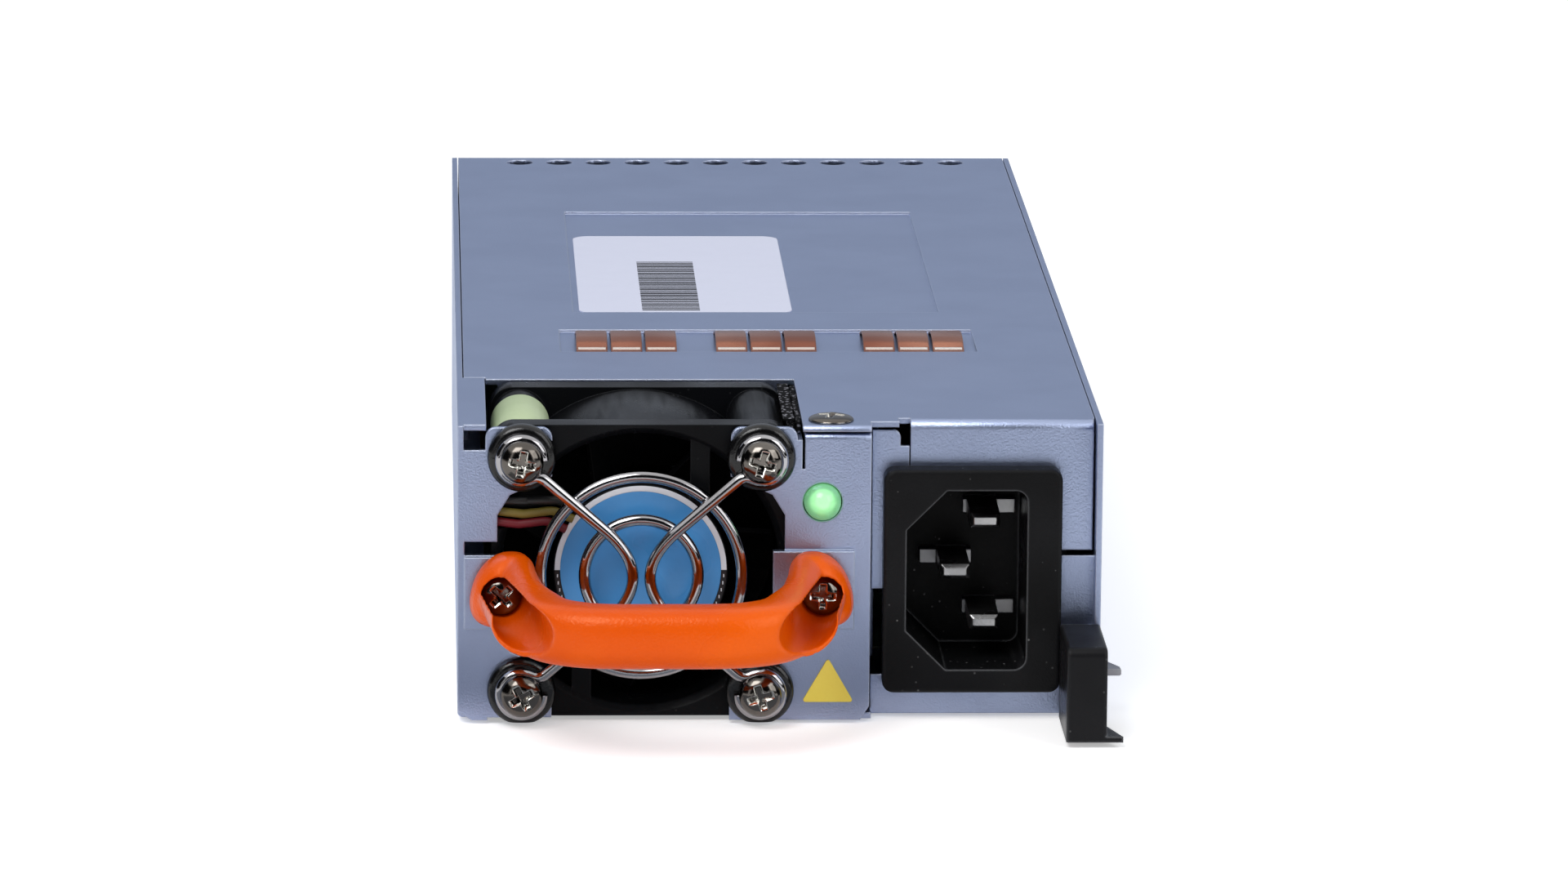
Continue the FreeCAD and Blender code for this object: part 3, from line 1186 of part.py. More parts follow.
def make_foam_pad():
    """Foam strip between the fan and the bracket's wall, which keeps air from flowing back."""
    fan_side = "fan_from_left + fan_size / 2"
    block("foam_pad",
          (from_left(f"{fan_side} + foam_fit"), from_front(f"{FAN_SETBACK} + fan_flange / 2"),
           f"{FAN_HEIGHT} - foam_height / 2"),
          (from_left(f"{BAY_WALL} - foam_fit"), from_front("bay_wall_depth"),
           f"{FAN_HEIGHT} + foam_height / 2"))


def make_lead_tape():
    """Tape wound round the upper left column over the leads."""
    across, up = fan_corners()[0]
    start = fan_front() + size("fan_flange") + size("seam_gap")
    column = size("fan_column")
    ring = tube(FreeCAD.Vector(across, start, up), FreeCAD.Vector(0, 1, 0), size("tape_length"),
                column + 2 * size("tape_thickness"), column)
    half = size("fan_size") / 2
    barrel = tube(fan_axis(start), FreeCAD.Vector(0, 1, 0), size("tape_length"),
                  size("fan_barrel"))
    lid = Part.makeBox(2 * column, size("fan_depth"), column,
                       FreeCAD.Vector(across - column, start, fan_axis(0).z + half))
    code_part("lead_tape", ring.cut(barrel).cut(lid))


def make_fan_leads():
    """Three leads from the motor base through the frame's notch and back beside the barrel."""
    lead = size("fan_lead")
    depth = fan_front() + size("motor_base_inset") - size("hub_label_thickness") \
        - size("seam_gap") / 2 - lead / 2
    hub = fan_axis(depth)
    top = size("lead_notch_top") - size("lead_notch_height") / 2 + size("lead_pitch")
    strut_end = hub.x - (size("fan_bore") + size("fan_barrel")) / 4
    leads = []
    for number in range(3):
        level = top - number * size("lead_pitch")
        side = strut_end - (lead + size("seam_gap")) / 2 + (1 - number) * lead / 4
        rise = level - lead - hub.z
        start = FreeCAD.Vector(hub.x - math.sqrt((size("motor_base") / 2) ** 2 - rise ** 2),
                               depth, level - lead)
        bend = FreeCAD.Vector(hub.x - size("motor_base") / 2 + (1 - number) * lead, depth, level)
        turn = FreeCAD.Vector(side, depth, level)
        end = FreeCAD.Vector(side, y_at(size("lead_end")), level)
        leads.append(bent_wire([start, bend, turn, end], [2 * lead, lead], lead))
    code_part("fan_leads", Part.makeCompound(leads))


# ---------------------------------------------------------------- pull handle and status lamp
def make_handle():
    """Moulded pull handle: leaning legs, rounded grip, screw lobes and screwdriver scoops."""
    body = new_body("handle")
    middle_x = "handle_screw_left + handle_screw_spacing / 2"
    foot = "(handle_screw_spacing / 2 + handle_screw_left - handle_root)"
    knee = f"({foot} - handle_taper)"

    def corner(side, reach, depth):
        return from_left(f"{middle_x} + {side} * ({reach})"), from_front(depth)

    inner_back = "-handle_reach + handle_thickness"
    add(body, FLAT, "handle_height - handle_grip / 2", "handle_grip",
        polygon(corner(-1, foot, "-boss_rise"), corner(-1, knee, "-handle_reach"),
                corner(1, knee, "-handle_reach"), corner(1, foot, "-boss_rise"),
                corner(1, f"{foot} - handle_leg_foot", "-boss_rise"),
                corner(1, f"{knee} - handle_leg", inner_back),
                corner(-1, f"{knee} - handle_leg", inner_back),
                corner(-1, f"{foot} - handle_leg_foot", "-boss_rise")))
    front, inside = y_at(-size("handle_reach")), y_at(-size("handle_reach")
                                                      + size("handle_thickness"))
    round_edges(body, "handle_shoulder", lambda edge: runs_along(edge, "z")
                and near(middle(edge).y, front))
    round_edges(body, "handle_inner_corner", lambda edge: runs_along(edge, "z")
                and near(middle(edge).y, inside))
    foot_y = y_at(-size("boss_rise"))
    top = size("handle_height") + size("handle_grip") / 2
    bottom = top - size("handle_grip")
    round_edges(body, "handle_round", lambda edge: (near(edge.BoundBox.ZMin, top)
                or near(edge.BoundBox.ZMax, bottom)) and edge.BoundBox.YMin < foot_y - 0.1)
    places = ("handle_screw_left", "(handle_screw_left + handle_screw_spacing)")
    lobe_start = from_front("-boss_rise - lobe_depth")
    lobe_low = "(lobe_bottom + lobe_width / 2)"
    lobe_high = "(lobe_bottom + lobe_height - lobe_width / 2)"
    for level in (lobe_low, lobe_high):
        add(body, UPRIGHT, lobe_start, "lobe_depth",
            *[circle(from_left(across), level, "lobe_width") for across in places])
    add(body, UPRIGHT, lobe_start, "lobe_depth",
        *[rectangle(from_left(f"{across} - lobe_width / 2"), lobe_low,
                    from_left(f"{across} + lobe_width / 2"), lobe_high) for across in places])
    floor = "(boss_rise + lobe_floor)"
    cut(body, UPRIGHT, from_front("-handle_reach"), f"handle_reach - {floor}",
        *[circle(from_left(across), "handle_screw_height", "2 * scoop_radius")
          for across in places])
    cut(body, UPRIGHT, from_front(f"-{floor} - sheet"), "lobe_floor + sheet",
        *[circle(from_left(across), "handle_screw_height", "handle_screw_shank + seam_gap")
          for across in places])


def make_handle_screws():
    """Two screws that hold the handle to the bosses."""
    screw = pan_screw(size("handle_screw_head"), size("handle_screw_rise"),
                      size("handle_screw_shank"), size("handle_screw_length"))
    seat = y_at(-size("boss_rise") - size("lobe_floor"))
    first = size("handle_screw_left")
    screws = [placed(screw, FreeCAD.Vector(x_at(first + shift), seat, size("handle_screw_height")),
                     FreeCAD.Vector(0, 1, 0), turn)
              for shift, turn in ((0, 12), (size("handle_screw_spacing"), 40))]
    code_part("handle_screws", Part.makeCompound(screws))


def make_status_lamp():
    """Lamp with a domed lens, its rim behind the bracket, and the open clip that holds it."""
    backward = FreeCAD.Vector(0, 1, 0)
    radius = size("lamp_diameter") / 2
    dome_centre = FreeCAD.Vector(x_at(size("lamp_from_left")),
                                 y_at(-size("lamp_rise") + radius),
                                 size("case_height") - size("lamp_drop"))
    behind = y_at(size("sheet") + size("seam_gap"))
    dome = Part.makeSphere(radius, dome_centre)
    stem = Part.makeCylinder(radius, behind - dome_centre.y + size("lamp_body"), dome_centre,
                             backward)
    rim_start = FreeCAD.Vector(dome_centre.x, behind, dome_centre.z)
    rim = Part.makeCylinder(size("lamp_rim") / 2, size("sheet"), rim_start, backward)
    code_part("status_lamp", dome.fuse([stem, rim]))
    side = size("lamp_holder")
    start = behind + size("sheet") + size("seam_gap")
    holder = Part.makeBox(side, size("lamp_body") - size("sheet"), side,
                          FreeCAD.Vector(rim_start.x - side / 3, start, rim_start.z - side / 2))
    bore = tube(FreeCAD.Vector(rim_start.x, start - 1, rim_start.z), backward,
                size("lamp_body") + 2, size("lamp_diameter") + size("seam_gap"))
    code_part("lamp_holder", holder.cut(bore))


# ---------------------------------------------------------------- mains inlet
def make_inlet_housing():
    """Moulded inlet: flange, body and a cavity with two slanted corners."""
    body = new_body("inlet_housing")
    left, bottom = from_left("inlet_left"), "inlet_bottom"
    add(body, UPRIGHT, from_front(INLET_FACE), "inlet_flange",
        rectangle(left, bottom, f"{left} + inlet_width", f"{bottom} + inlet_height"))
    round_edges(body, "inlet_corner", lambda edge: runs_along(edge, "y"))
    face = y_at(size("plate_setback") - size("inlet_flange"))
    round_edges(body, "inlet_edge", lambda edge: near(edge.BoundBox.YMin, face)
                and near(edge.BoundBox.YMax, face))
    add(body, UPRIGHT, from_front("plate_setback - inlet_flange / 2"),
        "inlet_depth + inlet_flange / 2",
        rectangle(f"{left} + inlet_margin", f"{bottom} + inlet_margin",
                  f"{left} + inlet_width - inlet_margin",
                  f"{bottom} + inlet_height - inlet_margin"))
    low_x, high_x = from_left("socket_left"), from_left("socket_left + socket_width")
    low_z, high_z = "socket_bottom", "(socket_bottom + socket_height)"
    cut(body, UPRIGHT, from_front(INLET_FACE), "socket_depth",
        polygon((low_x, f"{low_z} + socket_slant"), (f"{low_x} + socket_slant", low_z),
                (high_x, low_z), (high_x, high_z), (f"{low_x} + socket_slant", high_z),
                (low_x, f"{high_z} - socket_slant")))
    far_x = x_at(size("socket_left") + size("socket_width"))
    round_edges(body, "socket_corner", lambda edge: runs_along(edge, "y")
                and near(middle(edge).x, far_x))
    slots = [rectangle(from_left(f"{across} - pin_width / 2 - pin_fit"),
                       f"{up} - pin_thickness / 2 - pin_fit",
                       from_left(f"{across} + pin_width / 2 + pin_fit"),
                       f"{up} + pin_thickness / 2 + pin_fit")
             for _, across, up, _ in contact_places()]
    cut(body, UPRIGHT, from_front("plate_setback"), "inlet_depth", *slots)


def contact_places():
    """Each contact's name, its place across and up, and the shift of its shoulder."""
    centre = "(socket_bottom + socket_height / 2)"
    return (("line_contact", "pin_from_left", f"({centre} + pin_spacing / 2)",
             "line_shoulder_shift"),
            ("neutral_contact", "pin_from_left", f"({centre} - pin_spacing / 2)",
             "line_shoulder_shift"),
            ("earth_contact", "(pin_from_left - earth_offset)", centre, "-earth_shoulder_shift"))


def make_contact(name, across, up, shift):
    """A blade with a bevelled tip, a shoulder on the cavity's floor and a solder tab."""
    body = new_body(name)
    tip = f"{INLET_FACE} + pin_recess"
    floor = f"({INLET_FACE} + socket_depth)"
    back = "(plate_setback + inlet_depth)"
    add(body, UPRIGHT, from_front(tip), f"{back} - ({tip})",
        rectangle(from_left(f"{across} - pin_width / 2"), f"{up} - pin_thickness / 2",
                  from_left(f"{across} + pin_width / 2"), f"{up} + pin_thickness / 2"))
    front = body.Shape.BoundBox.YMin
    round_edges(body, "pin_bevel", lambda edge: near(edge.BoundBox.YMax, front), "Chamfer")
    add(body, UPRIGHT, from_front(f"{floor} - shoulder_depth"), "shoulder_depth",
        rectangle(from_left(f"{across} + {shift} - shoulder_width / 2"),
                  f"{up} - pin_thickness / 2",
                  from_left(f"{across} + {shift} + shoulder_width / 2"),
                  f"{up} + pin_thickness / 2"))
    add(body, UPRIGHT, from_front(f"{back} - pin_thickness / 2"),
        "terminal_length + pin_thickness / 2",
        rectangle(from_left(f"{across} - pin_width / 2"), f"{up} - terminal_thickness / 2",
                  from_left(f"{across} + pin_width / 2"), f"{up} + terminal_thickness / 2"))


# ---------------------------------------------------------------- release lever
def rivet_places():
    """The two rivets of the leaf, behind the front plane."""
    start = "leaf_root + anchor_gap"
    return f"{start} + anchor_length / 4", f"{start} + anchor_length * 3 / 4"


def make_latch_leaf():
    """Steel leaf along the right wall with the latch tooth that passes through the wall."""
    body = new_body("latch_leaf")
    add(body, SIDE, from_left(LEAF_LEFT), "leaf_thickness",
        rectangle(from_front("-leaf_tip"), "leaf_bottom", from_front("leaf_root"),
                  "leaf_bottom + leaf_height"))
    root = from_left(f"{LEAF_LEFT} + leaf_thickness / 2")
    tip = from_left("case_width + tooth_reach")
    add(body, FLAT, "tooth_bottom", "tooth_height",
        polygon((root, from_front("tooth_front")), (tip, from_front("tooth_front")),
                (tip, from_front("tooth_front + tooth_tip")),
                (root, from_front("tooth_front + tooth_length"))))
    far = x_at(size("case_width") + size("tooth_reach"))
    round_edges(body, "tooth_height / 5", lambda edge: runs_along(edge, "y")
                and near(middle(edge).x, far), "Chamfer")


def make_latch_anchor():
    """The riveted end of the leaf and its rivets."""
    block("latch_anchor",
          (from_left(LEAF_LEFT), from_front("leaf_root + anchor_gap"), "leaf_bottom"),
          (from_left(f"{LEAF_LEFT} + leaf_thickness"),
           from_front("leaf_root + anchor_gap + anchor_length"), "leaf_bottom + leaf_height"))


def make_lever_cap():
    """Black finger pad moulded onto the leaf's front end."""
    body = new_body("lever_cap")
    left, bottom = from_left(f"{LEAF_LEFT} - lever_inside"), "lever_bottom"
    back = f"{INLET_FACE} - lever_back_gap"
    add(body, UPRIGHT, from_front("-lever_reach"), f"lever_reach + {back}",
        rectangle(left, bottom, f"{left} + lever_width", f"{bottom} + lever_height"))
    shape = body.Shape.BoundBox
    round_edges(body, "lever_round", lambda edge: runs_along(edge, "x")
                and near(middle(edge).y, shape.YMin) and near(middle(edge).z, shape.ZMax))
    round_edges(body, "lever_round / 3", lambda edge: runs_along(edge, "y")
                and near(middle(edge).z, shape.ZMax))
    side = f"{left} + lever_width"
    add(body, FLAT, bottom, "lever_lip_thickness",
        polygon((f"{side} - lever_lip", from_front("-lever_reach")),
                (f"{side} + lever_lip", from_front("-lever_reach")),
                (f"{side} - lever_lip", from_front(back))))
    cut(body, SIDE, from_left(LEAF_LEFT), "leaf_thickness",
        rectangle(from_front("-leaf_tip"), "leaf_bottom", from_front(back),
                  "leaf_bottom + leaf_height"))


# ---------------------------------------------------------------- earthing fingers and labels
def make_ground_fingers(left_size, name):
    """A strip of curved spring fingers on two feet in the cover's recess."""
    metal, foot = size("finger_metal"), size("finger_foot")
    floor = size("case_height") - size("recess_depth")
    front = y_at(size("finger_recess_front")) + foot / 2
    back = front + size("finger_recess_length") - foot
    crown = size("case_height") + size("finger_rise")
    left = x_at(size(left_size))
    centre = (front + back) / 2

    def point(depth, height):
        return FreeCAD.Vector(left, depth, height)

    outer = Part.Arc(point(front + foot, floor + metal), point(centre, crown),
                     point(back - foot, floor + metal))
    inner = Part.Arc(point(back - foot - metal, floor), point(centre, crown - metal),
                     point(front + foot + metal, floor))
    outline = Part.Wire([outer.toShape(), Part.makeLine(outer.EndPoint, inner.StartPoint),
                         inner.toShape(), Part.makeLine(inner.EndPoint, outer.StartPoint)])
    arch = Part.Face(outline).extrude(FreeCAD.Vector(size("finger_width"), 0, 0))
    span = size("finger_pitch") * (count("finger_count") - 1) + size("finger_width")
    strip = Part.makeBox(span, foot + 2 * metal, metal, point(front, floor))
    strip = strip.fuse(Part.makeBox(span, foot + 2 * metal, metal,
                                    point(back - foot - 2 * metal, floor)))
    for finger in range(count("finger_count")):
        strip = strip.fuse(placed(arch, FreeCAD.Vector(finger * size("finger_pitch"), 0, 0)))
    code_part(name, strip.removeSplitter())


def make_label():
    """Plain white label in the cover's recess."""
    body = new_body("rating_label")
    left, front = from_left("label_left"), from_front("label_front")
    add(body, FLAT, "case_height - recess_depth", "label_thickness",
        rectangle(left, front, f"{left} + label_width", f"{front} + label_length"))
    round_edges(body, "label_corner", lambda edge: runs_along(edge, "z"))


def make_sticker():
    """Plain triangular sticker under the right handle boss."""
    body = new_body("triangle_sticker")
    left = from_left("sticker_left")
    add(body, UPRIGHT, from_front("-label_thickness"), "label_thickness",
        polygon((left, "sticker_bottom"), (f"{left} + sticker_width", "sticker_bottom"),
                (f"{left} + sticker_width / 2", "sticker_bottom + sticker_height")))
    round_edges(body, "label_thickness * 2", lambda edge: runs_along(edge, "y"))


# ---------------------------------------------------------------- boards and what they carry
def board_corners():
    """Places of the four standoffs, as expressions across and back."""
    inset = "standoff_inset"
    return [(from_left(across), from_front(back))
            for across in (f"board_left + {inset}", f"board_right - {inset}")
            for back in (f"board_front + {inset}", f"{BOARD_BACK} - {inset}")]


def corner_places():
    """The same four places as numbers."""
    inset = size("standoff_inset")
    return [(x_at(across), y_at(back))
            for across in (size("board_left") + inset, size("board_right") - inset)
            for back in (size("board_front") + inset,
                         size("case_length") - size("board_rear_gap") - inset)]


def make_boards():
    """Main board, insulating sheet and control board."""
    board = new_body("main_board")
    add(board, FLAT, "sheet + standoff_height", "board_thickness",
        rectangle(from_left("board_left"), from_front("board_front"),
                  from_left("board_right"), from_front(BOARD_BACK)))
    cut(board, FLAT, "sheet + standoff_height", "board_thickness",
        *[circle(across, back, "board_screw_shank + seam_gap") for across, back in board_corners()])
    insulator = new_body("insulating_sheet")
    add(insulator, FLAT, "sheet", "insulator_thickness",
        rectangle(from_left("board_left - sheet"), from_front("board_front - sheet"),
                  from_left("board_right + sheet"), from_front(f"{BOARD_BACK} + sheet")))
    cut(insulator, FLAT, "sheet", "insulator_thickness",
        *[circle(across, back, "standoff_diameter + 2 * seam_gap")
          for across, back in board_corners()])
    block("control_board",
          (from_left("control_left"), from_front("control_front"), BOARD_TOP),
          (from_left("control_left + board_thickness"),
           from_front("control_front + control_length"), f"{BOARD_TOP} + control_height"))


def make_board_fasteners():
    """Standoffs on the chassis floor and the screws that hold the main board to them."""
    upward = FreeCAD.Vector(0, 0, 1)
    floor, length = size("sheet"), size("board_thickness") + size("standoff_height") / 2
    screw = pan_screw(size("board_screw_head"), size("board_screw_rise"),
                      size("board_screw_shank"), length)
    screw = placed(screw, FreeCAD.Vector(0, 0, 0), FreeCAD.Vector(1, 0, 0), -90)
    standoffs, screws = [], []
    for across, back in corner_places():
        foot = FreeCAD.Vector(across, back, floor)
        standoffs.append(tube(foot, upward, size("standoff_height"), size("standoff_diameter"),
                              size("board_screw_shank")))
        screws.append(placed(screw, FreeCAD.Vector(across, back, board_top())))
    code_part("standoffs", Part.makeCompound(standoffs))
    code_part("board_screws", Part.makeCompound(screws))


def make_tongue():
    """Rear contact tongue: its board and the gilded contacts on both faces."""
    board = new_body("contact_tongue")
    add(board, FLAT, "tongue_height", "board_thickness",
        rectangle(from_left("tongue_left"), from_front(TONGUE_FRONT),
                  from_left("tongue_left + tongue_width"),
                  from_front("case_length + tongue_reach")))
    back = y_at(size("case_length") + size("tongue_reach"))
    round_edges(board, "board_thickness / 4", lambda edge: runs_along(edge, "x")
                and near(middle(edge).y, back), "Chamfer")
    row = size("pad_pitch") * (count("pad_count") - 1)
    first = x_at(size("tongue_left") + size("tongue_width") / 2) - row / 2
    front = back - size("board_thickness") / 2 - size("pad_length")
    top = size("tongue_height") + size("board_thickness")
    pads = [Part.makeBox(size("pad_width"), size("pad_length"), size("pad_thickness"),
                         FreeCAD.Vector(first + number * size("pad_pitch") - size("pad_width") / 2,
                                        front, level))
            for number in range(count("pad_count"))
            for level in (top, size("tongue_height") - size("pad_thickness"))]
    code_part("contact_pads", Part.makeCompound(pads))


def make_choke(name, across, back, diameter, bore, height):
    """A wound ring core lying flat on the board."""
    centre = FreeCAD.Vector(x_at(size(across)), y_at(size(back)), board_top())
    upward = FreeCAD.Vector(0, 0, 1)
    turns = count("choke_turns")
    wrap = size("choke_wrap")
    core = tube(centre + upward * wrap, upward, size(height) - 2 * wrap,
                size(diameter) - 2 * wrap, size(bore) + 2 * wrap)
    reach = (size(diameter) - size(bore)) / 2
    wires = []
    for number in range(turns):
        wire = Part.makeBox(reach, size("mains_lead"), size(height),
                            FreeCAD.Vector(size(bore) / 2, -size("mains_lead") / 2, 0))
        wire.rotate(FreeCAD.Vector(0, 0, 0), upward, 360 * number / turns)
        wire.translate(centre)
        wires.append(wire)
    code_part(name, core.fuse(wires))


def make_power_parts():
    """Fuse, line capacitor, chokes, main capacitor, transformer and output capacitors."""
    level = board_top()
    fuse_start = FreeCAD.Vector(x_at(size("fuse_left")), y_at(size("fuse_back")),
                                level + size("fuse_lift") + size("fuse_diameter") / 2)
    sideways = FreeCAD.Vector(1, 0, 0)
    glass = tube(fuse_start, sideways, size("fuse_length"),
                 size("fuse_diameter") - 2 * size("fuse_cap_wall"))
    cap_length = size("fuse_length") / 4
    caps = [tube(fuse_start + sideways * shift, sideways, cap_length, size("fuse_diameter"))
            for shift in (0, size("fuse_length") - cap_length)]
    clips = [Part.makeBox(cap_length / 2, size("fuse_diameter") / 2,
                          size("fuse_lift") + size("fuse_diameter") / 4,
                          FreeCAD.Vector(fuse_start.x + shift, fuse_start.y
                                         - size("fuse_diameter") / 4, level))
             for shift in (cap_length / 4, size("fuse_length") - cap_length * 3 / 4)]
    code_part("mains_fuse", glass.fuse(caps + clips))
    block("line_capacitor",
          (from_left("line_capacitor_left"), from_front("line_capacitor_front"), BOARD_TOP),
          (from_left("line_capacitor_left + line_capacitor_width"),
           from_front("line_capacitor_front + line_capacitor_depth"),
           f"{BOARD_TOP} + line_capacitor_height"))
    make_choke("filter_choke", "filter_choke_across", "filter_choke_back",
               "filter_choke_diameter", "filter_choke_bore", "filter_choke_height")
    make_choke("boost_choke", "filter_choke_across", "boost_choke_back",
               "boost_choke_diameter", "boost_choke_bore", "boost_choke_height")
    bulk = tube(FreeCAD.Vector(x_at(size("bulk_across")), y_at(size("bulk_front")),
                               level + size("bulk_diameter") / 2),
                FreeCAD.Vector(0, 1, 0), size("bulk_length"), size("bulk_diameter"))
    rims = [edge for edge in bulk.Edges if isinstance(edge.Curve, Part.Circle)]
    code_part("bulk_capacitor", bulk.makeChamfer(size("sheet"), rims))
    cans = [tube(FreeCAD.Vector(x_at(size("output_can_first") + number * size("output_can_pitch")),
                                y_at(output_can_depth()), level),
                 FreeCAD.Vector(0, 0, 1), size("output_can_height"), size("output_can"))
            for number in range(count("output_can_count"))]
    code_part("output_capacitors", Part.makeCompound(cans))


def make_transformer():
    """Ferrite core round the outside and the winding on its middle leg."""
    left, front = from_left("transformer_left"), from_front("transformer_front")
    right = f"{left} + transformer_width"
    back = f"{front} + transformer_length"
    core = new_body("transformer_core")
    add(core, SIDE, f"{left} + transformer_width / 4", "transformer_width / 2",
        rectangle(front, BOARD_TOP, back, f"{BOARD_TOP} + transformer_height"))
    window_low = f"{BOARD_TOP} + core_leg / 2"
    window_high = f"{BOARD_TOP} + transformer_height - core_leg / 2"
    cut(core, SIDE, f"{left} + transformer_width / 4", "transformer_width / 2",
        rectangle(f"{front} + core_leg / 2", window_low,
                  f"{front} + transformer_length / 2 - core_leg", window_high),
        rectangle(f"{front} + transformer_length / 2 + core_leg", window_low,
                  f"{back} - core_leg / 2", window_high))
    coil = new_body("transformer_winding")
    add(coil, FLAT, f"{window_low} + seam_gap", "transformer_height - core_leg - 2 * seam_gap",
        rectangle(left, f"{front} + core_leg / 2 + seam_gap", right,
                  f"{back} - core_leg / 2 - seam_gap"))
    cut(coil, FLAT, f"{window_low} + seam_gap", "transformer_height - core_leg - 2 * seam_gap",
        rectangle(f"{left} + transformer_width / 4 - seam_gap",
                  f"{front} + transformer_length / 2 - core_leg - seam_gap",
                  f"{right} - transformer_width / 4 + seam_gap",
                  f"{front} + transformer_length / 2 + core_leg + seam_gap"))
    round_edges(coil, "core_leg / 2", lambda edge: runs_along(edge, "z")
                and abs(middle(edge).x - x_at(size("transformer_left"))
                        - size("transformer_width") / 2) > size("transformer_width") / 2 - 0.1)


def make_heatsink(name, left, front):
    """An extruded heat sink: a web with fins on its left side."""
    body = new_body(name)
    web = from_left(f"{left} + fin_depth")
    start = from_front(front)
    add(body, FLAT, BOARD_TOP, "heatsink_height",
        rectangle(web, start, f"{web} + heatsink_web", f"{start} + heatsink_length"))
    fin = add(body, FLAT, BOARD_TOP, "heatsink_height",
              rectangle(from_left(left), start, f"{web} + heatsink_web / 2",
                        f"{start} + fin_thickness"))
    repeat(body, fin, "V_Axis", "(heatsink_length - fin_thickness) / (fin_count - 1)", "fin_count")


def make_transistors():
    """Power transistors clamped to the right faces of both heat sinks, two on each."""
    tabs = []
    for left, front in (("primary_sink_left", "primary_sink_front"),
                        ("output_sink_left", "output_sink_front")):
        face = x_at(size(left) + size("fin_depth") + size("heatsink_web"))
        for share in (0.25, 0.75):
            start = y_at(size(front) + share * size("heatsink_length")) \
                - size("transistor_width") / 2
            tabs.append(Part.makeBox(size("transistor_depth"), size("transistor_width"),
                                     size("transistor_height"),
                                     FreeCAD.Vector(face, start,
                                                    board_top() + size("transistor_lift"))))
    code_part("power_transistors", Part.makeCompound(tabs))


def make_mains_leads():
    """Insulated leads from the inlet's three solder tabs down to the main board."""
    lead = size("mains_lead")
    start_y = y_at(size("plate_setback") + size("inlet_depth") + size("terminal_length")) + lead / 4
    end_z = board_top()
    socket_centre = size("socket_bottom") + size("socket_height") / 2
    ends = ((size("pin_from_left"), socket_centre + size("pin_spacing") / 2, 2.0),
            (size("pin_from_left") - size("earth_offset"), socket_centre, 1.4),
            (size("pin_from_left"), socket_centre - size("pin_spacing") / 2, 0.75))
    leads = []
    for across, up, landing in ends:
        start = FreeCAD.Vector(x_at(across), start_y, up)
        end = FreeCAD.Vector(start.x, y_at(size("board_front")) + landing * lead, end_z)
        turn = FreeCAD.Vector(start.x, end.y, up)
        leads.append(bent_wire([start, turn, end], [lead], lead))
    code_part("mains_leads", Part.makeCompound(leads))


def make_rivets():
    """Flush rivets that hold the leaf's rear end to the right wall."""
    outward = FreeCAD.Vector(1, 0, 0)
    leaf = size("case_width") - size("sheet") - size("leaf_gap") - size("leaf_thickness")
    start = size("leaf_root") + size("anchor_gap")
    height = size("leaf_bottom") + size("leaf_height") / 2
    rivets = []
    for share in (0.25, 0.75):
        place = start + share * size("anchor_length")
        head = tube(FreeCAD.Vector(x_at(leaf - size("sheet")), y_at(place), height), outward,
                    size("sheet"), size("rivet_head"))
        collar = tube(FreeCAD.Vector(x_at(leaf + size("leaf_thickness")), y_at(place), height),
                      outward, size("leaf_gap"), size("rivet_head"))
        stem = tube(FreeCAD.Vector(x_at(leaf + size("leaf_thickness")), y_at(place), height),
                    outward, size("case_width") - leaf - size("leaf_thickness"),
                    size("rivet_diameter"))
        rivets.extend([head, collar.fuse(stem)])
    code_part("latch_rivets", Part.makeCompound(rivets))


def build():
    """Make every sub-part, in the order in which it would be put together."""
    make_chassis()
    make_top_cover()
    make_front_bracket()
    make_inlet_bracket()
    make_rear_panel()
    make_cover_screw()
    make_fan_frame()
    make_fan_rotor()
    make_fan_motor()
    make_hub_label()
    make_grommets()
    make_finger_guard()
    make_fan_screws()
    make_foam_pad()
    make_lead_tape()
    make_fan_leads()
    make_handle()
    make_handle_screws()
    make_status_lamp()
    make_inlet_housing()
    for name, across, up, shift in contact_places():
        make_contact(name, across, up, shift)
    make_latch_leaf()
    make_latch_anchor()
    make_rivets()
    make_lever_cap()
    make_ground_fingers("finger_first", "ground_fingers_left")
    make_ground_fingers("finger_second", "ground_fingers_middle")
    make_ground_fingers("finger_third", "ground_fingers_right")
    make_label()
    make_sticker()
    make_boards()
    make_board_fasteners()
    make_tongue()
    make_power_parts()
    make_transformer()
    make_heatsink("primary_heatsink", "primary_sink_left", "primary_sink_front")
    make_heatsink("output_heatsink", "output_sink_left", "output_sink_front")
    make_transistors()
    make_mains_leads()


def export():
    """Check that nothing failed, then write each sub-part's shape to its own file."""
    DOC.recompute()
    failed = [item.Label for item in DOC.Objects
              if "Invalid" in item.State or "Error" in item.State]
    if failed:
        raise RuntimeError(f"failed objects: {failed}")
    os.makedirs("parts", exist_ok=True)
    for part in PARTS:
        if part.Shape.isNull() or not part.Shape.isValid():
            raise RuntimeError(f"{part.Label} has no valid shape")
        part.Shape.exportStep(f"parts/{part.Label}.step")
        box = part.Shape.BoundBox
        print(f"{part.Label}: {len(part.Shape.Solids)} solid(s), {part.Shape.Volume:.1f} mm3, "
              f"x {box.XMin:.2f}..{box.XMax:.2f}, y {box.YMin:.2f}..{box.YMax:.2f}, "
              f"z {box.ZMin:.2f}..{box.ZMax:.2f}")


build()
export()
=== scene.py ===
"""Looks of a hot swap server power supply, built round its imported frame.

Each sub-assembly is a class. It holds its sizes in millimetres, builds the pieces that stand for
the frame's plain ones, and dresses every piece in a procedural finish.
"""

import logging
import math
import random
from dataclasses import dataclass, field
from enum import Enum

import bmesh
import bpy
from mathutils import Matrix, Vector
from mathutils.noise import noise


